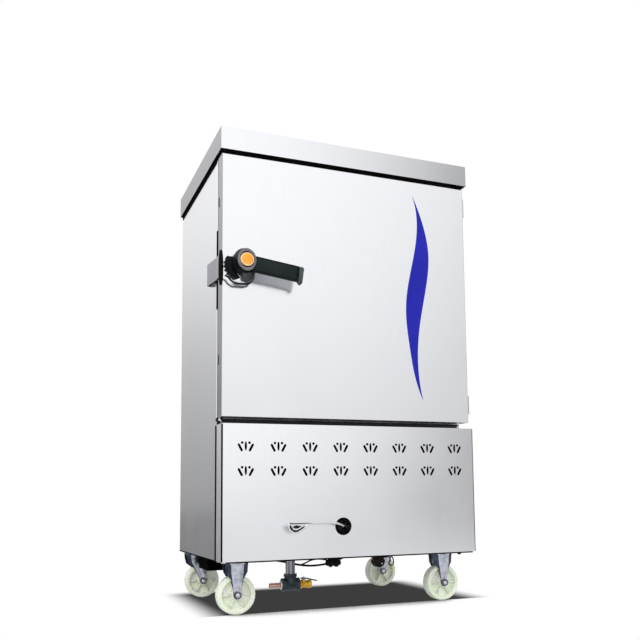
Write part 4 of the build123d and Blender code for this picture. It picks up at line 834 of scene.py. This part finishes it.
# Screws round the rear panel and the flue, and rivets on the front forks
BODY_BACK = 541.0
rear_screws = [((x, BODY_BACK, z), TO_BACK) for x in (-350, 350) for z in range(200, 1190, 160)]
rear_screws += [((x, BODY_BACK, z), TO_BACK) for x in (-210, -70, 70, 210) for z in (150, 1180)]
rear_screws += [((x, BODY_BACK + 1, z), TO_BACK) for x in (-117, 117) for z in (388, 497)]
heads("rear_panel_screws", rear_screws, 4.2, 2.2, "cabinet", "zinc_steel")
crown_rivets = [((side * FRONT_CASTOR[0] + dx, 62.0, 131), TO_FRONT) for side in (-1, 1) for dx in (-17, 17)]
heads("fork_rivets", crown_rivets, 3, 1.5, "cabinet", "zinc_steel")

# Latch: depths in its profiles count forwards from the door's face, on the hub's axis
HUB_X, HUB_Z = -307.5, 899.0
HUB = at(HUB_X, 0, HUB_Z)
FOOT_OUTLINE = (
    (-38, 17), (-43.5, 2), (-42, -12), (-36, -26), (-24, -38), (-6, -44), (14, -40), (22, -24), (22, 10),
    (8, 17),
)
RIB_TURNS = (154, 169, 184, 199, 214, 229)
RIB_PROFILE = ((0, 0.2), (3.4, 0.2), (3.4, 9.6), (2.6, 10.4), (0, 10.4))
PIVOT_PROFILE = ((0, 11.5), (17, 11.5), (17, 14.0), (9.9, 14.2), (9.9, 42.5), (0, 42.5))
DRUM_PROFILE = (
    (0, 20.8), (28.4, 20.8), (30.0, 22.2), (30.0, 30.0), (28.6, 31.4), (28.2, 34.0), (26.4, 44.0),
    (25.0, 51.4), (24.0, 52.8), (0, 52.8),
)
COLLAR_PROFILE = (
    (17.9, 52.4), (24.3, 52.4), (24.5, 53.6), (23.4, 55.2), (21.0, 55.9), (18.6, 55.4), (17.9, 54.6),
    (17.9, 52.4),
)
BUTTON_PROFILE = ((0, 52.0), (14.0, 52.0), (14.0, 57.4), (12.8, 58.3), (9.0, 58.7), (0, 58.9))
BUTTON_RIM_PROFILE = (
    (14.1, 52.0), (17.4, 52.0), (17.4, 56.6), (16.4, 57.9), (14.6, 57.9), (14.1, 57.3), (14.1, 52.0))
CHIN_PROFILE = ((0, 20.9), (16.4, 20.9), (17.0, 21.6), (17.0, 36.0), (14.5, 40.6), (9, 42.6), (0, 43.2))


def round_hub(points):
    """An outline given from the hub, in the cabinet's X and Z."""
    return [(HUB_X + x, HUB_Z + z) for x, z in points]


def latch_foot():
    """The ribbed foot that stays on the door, with the pivot that the drum turns on."""
    foot = plate("latch_foot", round_hub(FOOT_OUTLINE), front=-12.0, depth=11.9, edge=1.6, segments=3)
    keep(foot, "door", "black_plastic", "latch_base")

    def draw_ribs(shape):
        for turn in map(math.radians, RIB_TURNS):
            centre = at(HUB_X + 43.5 * math.cos(turn), 0, HUB_Z - 3 + 40 * math.sin(turn))
            turn_profile(shape, RIB_PROFILE, centre, TO_FRONT, 12)

    keep(piece_from("latch_foot_ribs", draw_ribs, 40), "door", "black_plastic")
    keep(turned("latch_pivot", PIVOT_PROFILE, HUB, TO_FRONT, 40), "door", "black_plastic")


def latch_drum():
    """The tapered drum, its grey collar, and the orange button in its pale rim."""
    drum = turned("latch_drum", DRUM_PROFILE, HUB, TO_FRONT, 64, (1.0, 1.2))
    keep(drum, "latch", "black_plastic")
    collar = open_ends(turned("latch_collar", COLLAR_PROFILE, HUB, TO_FRONT, 64, (1.0, 1.18), 40))
    keep(collar, "latch", "grey_plastic", "latch_ring")
    button = turned("latch_button", BUTTON_PROFILE, HUB, TO_FRONT, 48, smooth=40)
    keep(button, "latch", "orange_plastic", "latch_cap")
    rim = open_ends(turned("latch_button_rim", BUTTON_RIM_PROFILE, HUB, TO_FRONT, 48, smooth=40))
    keep(rim, "latch", "orange_plastic", look=RIM_CREAM)


LEVER_TILT = math.radians(-7.4)
BAR_OUTLINE = ((6, 20.6), (139.5, 20.6), (139.5, -20.6), (20, -20.6), (6, -18))
LINER_OUTLINE = ((26, 18.5), (150, 18.5), (150, -20.5), (145, -24), (138, -18.5), (26, -18.5))
INLAY_OUTLINE = ((24, 16.5), (134.5, 16.5), (134.5, -16.5), (24, -16.5))
END_OUTLINE = (
    (140, 20.4), (149.5, 20.0), (152.5, 17), (152.1, -22), (148.5, -27.5), (144, -25), (140, -21.0))


def lever_line(points):
    """An outline given along and across the tilted lever, in the cabinet's X and Z."""
    return [(
        HUB_X + along * math.cos(LEVER_TILT) - across * math.sin(LEVER_TILT),
        HUB_Z - 6 + along * math.sin(LEVER_TILT) + across * math.cos(LEVER_TILT),
    ) for along, across in points]


def latch_bar():
    """The lever's bar with its pale liner behind, there to lighten the bar's reflection in the door as a
    painted reflection, its inlay, its end cap and the chin under the drum.
    """
    bar = plate("latch_bar", lever_line(BAR_OUTLINE), front=-52.8, depth=13.0, edge=2.2, segments=3)
    keep(bar, "latch", "black_plastic", "latch_lever")
    # The liner paints the lever's reflection in the door lighter
    liner = plate("latch_bar_back", lever_line(LINER_OUTLINE), front=-39.7, depth=1.6, edge=0.5)
    keep(liner, "latch", "lever_steel", look=LINER_FOR_PAINTED_REFLECTION)
    inlay = plate("latch_bar_inlay", lever_line(INLAY_OUTLINE), front=-53.3, depth=1.2, edge=0.5)
    keep(inlay, "latch", "black_plastic", look=INLAY_BLACK)
    end_cap = plate("latch_bar_end", lever_line(END_OUTLINE), front=-53.2, depth=15.0, edge=1.8, segments=3)
    keep(end_cap, "latch", "grey_plastic", look=END_GREY)
    # The chin's mottled grey is painted highlights
    chin = turned("latch_chin", CHIN_PROFILE, at(HUB_X + 8, 0, HUB_Z - 35), TO_FRONT, 40)
    keep(chin, "latch", "black_plastic", look=CHIN_PAINTED_HIGHLIGHTS)


HOOK_DEPTH = -17.2
HOOK_LINE = (
    (29, -20), (27, -38), (18, -50.5), (4, -55), (-22, -55.5), (-33, -48.5), (-40, -40), (-48.5, -36.6))
HOOK_PLATE = (
    (-20, -12), (22, -8), (28, -24), (25, -40), (14, -51), (-14, -53), (-26, -48), (-8, -40), (-16, -30))


def latch_hook():
    """The blackened arm that reaches behind the keeper, and the bright plate that carries it."""
    arm = smooth_tube("latch_hook_arm", [(x, HOOK_DEPTH, z) for x, z in round_hub(HOOK_LINE)], 2.4, 2)
    keep(arm, "latch", "hook_steel", "latch_hook")
    carrier = plate("latch_hook_plate", round_hub(HOOK_PLATE), front=-18.6, depth=2.6, edge=0.6)
    keep(carrier, "latch", "hook_steel", look=DISH_STEEL)


latch_foot()
latch_drum()
latch_bar()
latch_hook()

# Gas lever: a bent polished rod, and a cupped leaf grip with its dark marks
GAS_X, GAS_Z = -38.0, 220.0
ROD_LINE = (
    (0, 22, 0), (0, 4, 0), (-1, -22, 0.5), (-9, -38, 3), (-26, -40.5, 9.5), (-50, -40, 11.5),
    (-78, -40, 11.4), (-106, -40, 11),
)
LEAF_X, LEAF_Z = GAS_X - 128, GAS_Z + 8
LEAF = (
    (32, 4.6), (10, 5.4), (-14, 5.6), (-27, 5.4), (-31.5, 1), (-31, -6), (-27, -13.5), (-18, -20),
    (-8, -22), (2, -19), (12, -13.5), (22, -6), (32, 0),
)
LEAF_MARKS = {
    "crescent": (
        (-28.8, -1.0), (-27.5, -8), (-24, -13), (-15, -18.8), (-2, -15.2), (8, -9.6), (14, -3.0),
        (8, -5.2), (0, -9.8), (-9, -13.2), (-18, -12.4), (-22.5, -7.0), (-24.5, -1.8),
    ),
    "top_line": (
        (-27.0, 5.6), (-22, 4.6), (4, 4.4), (30, 3.6), (30, 2.4), (4, 2.0), (-20, 1.8), (-26.5, 1.9),
        (-28.4, 3.8),
    ),
    "eye": (
        (-16.4, -5.2), (-12, -2.4), (-7, -1.6), (-2.4, -3.0), (4, -3.6), (-1.2, -6.2), (-5.4, -9.2),
        (-10.4, -9.0), (-14.6, -7.2),
    ),
}


def cupped(shape, outline, front, depth, inset, floor):
    """A cupped leaf: a rim, then a dished floor inside it."""
    middle = (sum(p[0] for p in outline) / len(outline), sum(p[1] for p in outline) / len(outline))
    inner = [(middle[0] + (x - middle[0]) * inset, middle[1] + (z - middle[1]) * inset) for x, z in outline]
    loops = []
    for points, y in ((outline, front + depth), (outline, front), (inner, front), (inner, front + floor)):
        loops.append([shape.verts.new(at(LEAF_X + x, y, LEAF_Z + z)) for x, z in points])
    for low, high in zip(loops, loops[1:]):
        for i in range(len(outline)):
            j = (i + 1) % len(outline)
            shape.faces.new((low[i], low[j], high[j], high[i]))
    shape.faces.new(loops[0])
    shape.faces.new(loops[-1])


def gas_lever():
    rod = smooth_tube("gas_lever_rod", [(GAS_X + x, y, GAS_Z + z) for x, y, z in ROD_LINE], 2.8)
    keep(rod, "gas_lever", "lever_steel", "gas_lever")
    grip = piece_from("gas_lever_grip", lambda shape: cupped(
        shape, LEAF, front=-42.0, depth=5.0, inset=0.8, floor=2.4), 0)
    keep(rounded(grip, 0.6, 2, 20), "gas_lever", "lever_steel", look=DISH_STEEL)
    for mark, outline in LEAF_MARKS.items():
        placed = [(LEAF_X + x, LEAF_Z + z) for x, z in outline]
        inlay = plate("gas_lever_" + mark, placed, front=-42.8, depth=3.4, edge=0.25, segments=1, angle=20)
        keep(inlay, "gas_lever", "lever_steel", look=GRIP_ENAMEL)


gas_lever()

# Ignition lead in two stretches with the junction between them, from the box and the pan's underside
IGNITER_X, PAN_Z = -301.0, 140.0
LEAD_ROUTES = {
    "igniter_lead_long": (
        (61, 325, -20), (101, 325, -20), (148, 312, -21), (200, 303, -30), (250, 300, -43),
        (300, 300, -47), (336, 300, -42),
    ),
    "igniter_lead_short": (
        (374, 300, -31), (415, 306, -18), (458, 330, -16), (490, 372, -20), (512, 396, -24),
        (526, 396, -24),
    ),
}
BRANCH_ROUTE = (
    (-52, 297, 98), (-36, 296, 103), (-18, 295, 112), (6, 295, 114), (30, 297, 110), (44, 299, 106))
LOBES_PROFILE = (
    (0, 0), (6, 0.5), (8.5, 3), (9, 9), (12.5, 12), (13, 18), (10, 21), (9.5, 27), (12.5, 30), (13, 37),
    (9, 41), (7, 47), (0, 49),
)


def ignition_lead():
    """Both stretches, the branch, the two-lobed junction and its hanger."""
    for name, route in LEAD_ROUTES.items():
        stands_for = ("igniter_lead",) if name == "igniter_lead_short" else ()
        placed = [(IGNITER_X + x, y, PAN_Z + z) for x, y, z in route]
        keep(smooth_tube(name, placed, 3.0), "cabinet", "lead_sleeve", *stands_for)
    keep(smooth_tube("igniter_lead_branch", BRANCH_ROUTE, 2.2), "cabinet", "lead_sleeve")
    lobes = turned("junction_lobes", LOBES_PROFILE, at(30, 300, 100), TO_RIGHT, 28, (0.85, 1.0), 50)
    keep(lobes, "cabinet", "black_plastic", "junction_block", look=GLOSS_BLACK)
    hanger = piece_from("junction_hanger", lambda shape: slab(shape, (38, 70), (296, 304), (104, 140)), 0)
    keep(rounded(hanger, 1.0), "cabinet", "black_plastic", look=GLOSS_BLACK)


COIL_PROFILE = (
    (0, 0), (15, 0), (16.5, 2), (16.5, 5), (15, 7), (15, 19), (16.5, 21), (16.5, 26), (14, 28), (0, 28))
COIL_NUTS = ((237, 92), (252, 84), (245, 99))
WIRE_LOOP = [
    (262, 392, 118), (276, 392, 114), (292, 394, 106), (301, 396, 92), (300, 396, 78), (290, 396, 73),
    (282, 395, 82), (290, 394, 92), (284, 393, 104), (266, 392, 108),
]


def solenoid():
    """The coil under the casting with its nuts, and its wire loop."""
    def draw_coil(shape):
        turn_profile(shape, COIL_PROFILE, at(245, 380, 88), TO_BACK, 28, (1.1, 1.0))
        slab(shape, (229, 261), (376, 414), (86, 96))

    keep(piece_from("solenoid_coil", draw_coil, 40), "cabinet", "dark_casting")
    nuts = [((x, 379.6, z), TO_FRONT) for x, z in COIL_NUTS]
    heads("solenoid_nuts", nuts, 3.2, 2, "cabinet", "zinc_steel")
    keep(smooth_tube("solenoid_wire", WIRE_LOOP, 2.0), "cabinet", "dark_casting")


# Drain: a brass valve on one end of the tee and a barbed copper nipple on the other
DRAIN_Y, VALVE_Z, NIPPLE_Z = 200, 53, 54
VALVE_X, BONNET_X, NIPPLE_X = -90, -75, -139
VALVE_PROFILE = (
    (4.6, 0), (11.5, 0), (12, 1), (12, 7), (11, 8), (9.4, 10), (9.4, 24), (11, 26), (11.6, 27),
    (11.6, 36), (10.6, 37), (4.6, 37), (4.6, 0),
)
BONNET_PROFILE = ((0, 4), (6.5, 4), (6.5, 12.5), (4.4, 13.5), (0, 13.5))
VALVE_LEVER = (
    (-83, 68.0), (-70, 67.8), (-62, 66.4), (-44, 61.4), (-35.5, 60.0), (-35.5, 63.0), (-44, 64.8),
    (-62, 69.8), (-70, 71.2), (-83, 71.2),
)
FLANGE_PROFILE = ((6.2, 0), (11.5, 0), (12.4, 1), (12.4, 3.2), (11.5, 4), (6.2, 4), (6.2, 0))
BARB_STEP, BARB_COUNT = 6, 4
BARB = ((6.35, 10), (7.2, 10.4), (6.3, 15))


def drain_valve():
    """Nut, barrel and bonnet in brass, with the flat lever and its nut, and the nipple's flange."""
    def draw_valve(shape):
        turn_profile(shape, VALVE_PROFILE, at(VALVE_X, DRAIN_Y, VALVE_Z), TO_RIGHT, 24)
        turn_profile(shape, BONNET_PROFILE, at(BONNET_X, DRAIN_Y, VALVE_Z), UPWARDS, 16)

    keep(piece_from("drain_valve", draw_valve), "cabinet", "brass", "drain_valve_body")
    lever = plate("drain_lever_plate", VALVE_LEVER, front=195.0, depth=10.0, edge=0.6)
    keep(lever, "drain_lever", "dark_lever", "drain_valve_lever")
    heads("drain_lever_nut", [((BONNET_X, DRAIN_Y, 71.0), UPWARDS)], 4, 3.5, "drain_lever", "zinc_steel")
    flange_place = at(NIPPLE_X - 0.3, DRAIN_Y, NIPPLE_Z)
    flange = turned("nipple_flange", FLANGE_PROFILE, flange_place, TO_LEFT, 24, smooth=35)
    keep(flange, "cabinet", "zinc_steel", look=DISH_STEEL)


def nipple_barbs():
    """The barbs that hold a hose on the copper nipple."""
    barbs = [(radius, along + k * BARB_STEP) for k in range(BARB_COUNT) for radius, along in BARB]
    profile = [(6.2, 4.2), *barbs, (6.2, 35.8), (4.6, 35.8)]
    nipple = turned("nipple_barbs", profile, at(NIPPLE_X, DRAIN_Y, NIPPLE_Z), TO_LEFT, 32, smooth=35)
    keep(nipple, "cabinet", "copper")


# Case trim: black strips of painted shade in the seam gaps, under the cover and at the lip under the panel,
# the keeper, the sill strip and the stop by a castor
# Ends in X, Y and Z of each black strip of painted shade
SHADE_STRIPS = (
    ((-360.5, -358.5), (50.0, 64.0), (141, 484)), ((358.5, 360.5), (50.0, 64.0), (141, 484)),
    ((-360.5, -358.8), (-15.9, -3.0), (141, 483)), ((358.8, 360.5), (-15.9, -3.0), (141, 483)),
    ((-360.5, -352), (47.2, 57.5), (790, 864)), ((-360.5, -352), (47.2, 57.5), (927, 1000)),
    ((-361.2, -352), (57, 538), (1189.5, 1203)), ((352, 361.2), (57, 538), (1189.5, 1203)),
    ((-346, 352), (-14.5, -2), (136.8, 140.4)), ((-361.5, -350), (57, 538), (137.8, 140.4)),
)
KEEPER_X = -365.3
KEEPER_PROFILE = (
    (0, 0), (2.6, 0.6), (4.2, 6), (5.6, 16), (6.3, 28), (6.4, 46), (6.3, 64), (5.6, 77), (4.2, 87),
    (2.6, 92.4), (0, 93),
)
STRIP_END_X, STRIP_END_Z = -353, 498.6
STRIP_RING = ((4.2, 0), (6.0, -1.4), (8.4, 0), (8.4, 9), (4.2, 9), (4.2, 0))
STRIP_RIBS, RIB_HEIGHT = (489.5, 494.5), 2.2
STOP_PROFILE = ((0, 0), (5, 0), (5, 7), (3.6, 9.5), (0, 9.5))


def painted_shade_strips():
    """Black strips that paint the shade in the corner gaps and under the cover, and the shade of the lips
    below the panels.
    """
    shade_strips = piece_from("painted_shade_strips", lambda shape: [slab(shape, *ends) for ends in SHADE_STRIPS], 0)
    keep(shade_strips, "cabinet", "black_rubber", look=SHADE_AND_STOP_BLACK)


def keeper_spindle():
    """The black keeper bar, thickest in the middle."""
    keeper = turned("keeper_spindle", KEEPER_PROFILE, at(KEEPER_X, -12, 837), UPWARDS, 28, smooth=50)
    keep(keeper, "cabinet", "black_plastic", "keeper_bar", look=GLOSS_BLACK)


def sill_strip():
    """The strip's open end with a bright bead in it, and the ribs along its face, grey with painted sheen."""
    def draw_end(shape):
        turn_profile(shape, STRIP_RING, at(STRIP_END_X, 46.2, STRIP_END_Z), TO_BACK, 28, (1.05, 0.95))
        slab(shape, (-348.7, -338), (44.1, 55), (486.6, 499.5))
        slab(shape, (-360.5, -347), (47, 53), (486.6, 489.4))

    keep(open_ends(piece_from("sill_strip_end", draw_end, 40)), "cabinet", "black_rubber")
    bead = [((STRIP_END_X, 46.6, STRIP_END_Z), TO_FRONT)]
    heads("sill_strip_bead", bead, 4.4, 2.6, "cabinet", "black_rubber", DISH_STEEL)
    ribs = piece_from("sill_strip_lines", lambda shape: [
        slab(shape, (-340, 348), (45.4, 46.4), (z, z + RIB_HEIGHT)) for z in STRIP_RIBS], 0)
    keep(rounded(ribs, 0.5, 1), "cabinet", "black_rubber", look=RIB_PAINTED_SHEEN)


def floor_stop():
    """The small rubber stop under the pan, beside the right front castor."""
    stop = turned("floor_stop", STOP_PROFILE, at(328, 20, 140), (0, 0, -1), 20, smooth=35)
    keep(stop, "cabinet", "black_rubber", look=SHADE_AND_STOP_BLACK)


def wool_slab(node_name, body):
    """A stone wool slab, rounded and matted, from the plain solid that it stands for."""
    shape = bmesh.new()
    shape.from_mesh(frame["nodes"][node_name].data)
    bmesh.ops.remove_doubles(shape, verts=shape.verts, dist=1e-5)
    bmesh.ops.dissolve_limit(shape, angle_limit=math.radians(2), verts=shape.verts, edges=shape.edges)
    mesh = bpy.data.meshes.new(node_name + "_wool")
    shape.to_mesh(mesh)
    shape.free()
    keep(rounded(linked(mesh.name, mesh), 2.5, 2, 50), body, "mineral_wool", node_name)


ignition_lead()
solenoid()
drain_valve()
painted_shade_strips()
keeper_spindle()
sill_strip()
floor_stop()
wool_slab("wall_insulation", "cabinet")
wool_slab("door_insulation", "door")
nipple_barbs()

bpy.context.view_layer.update()
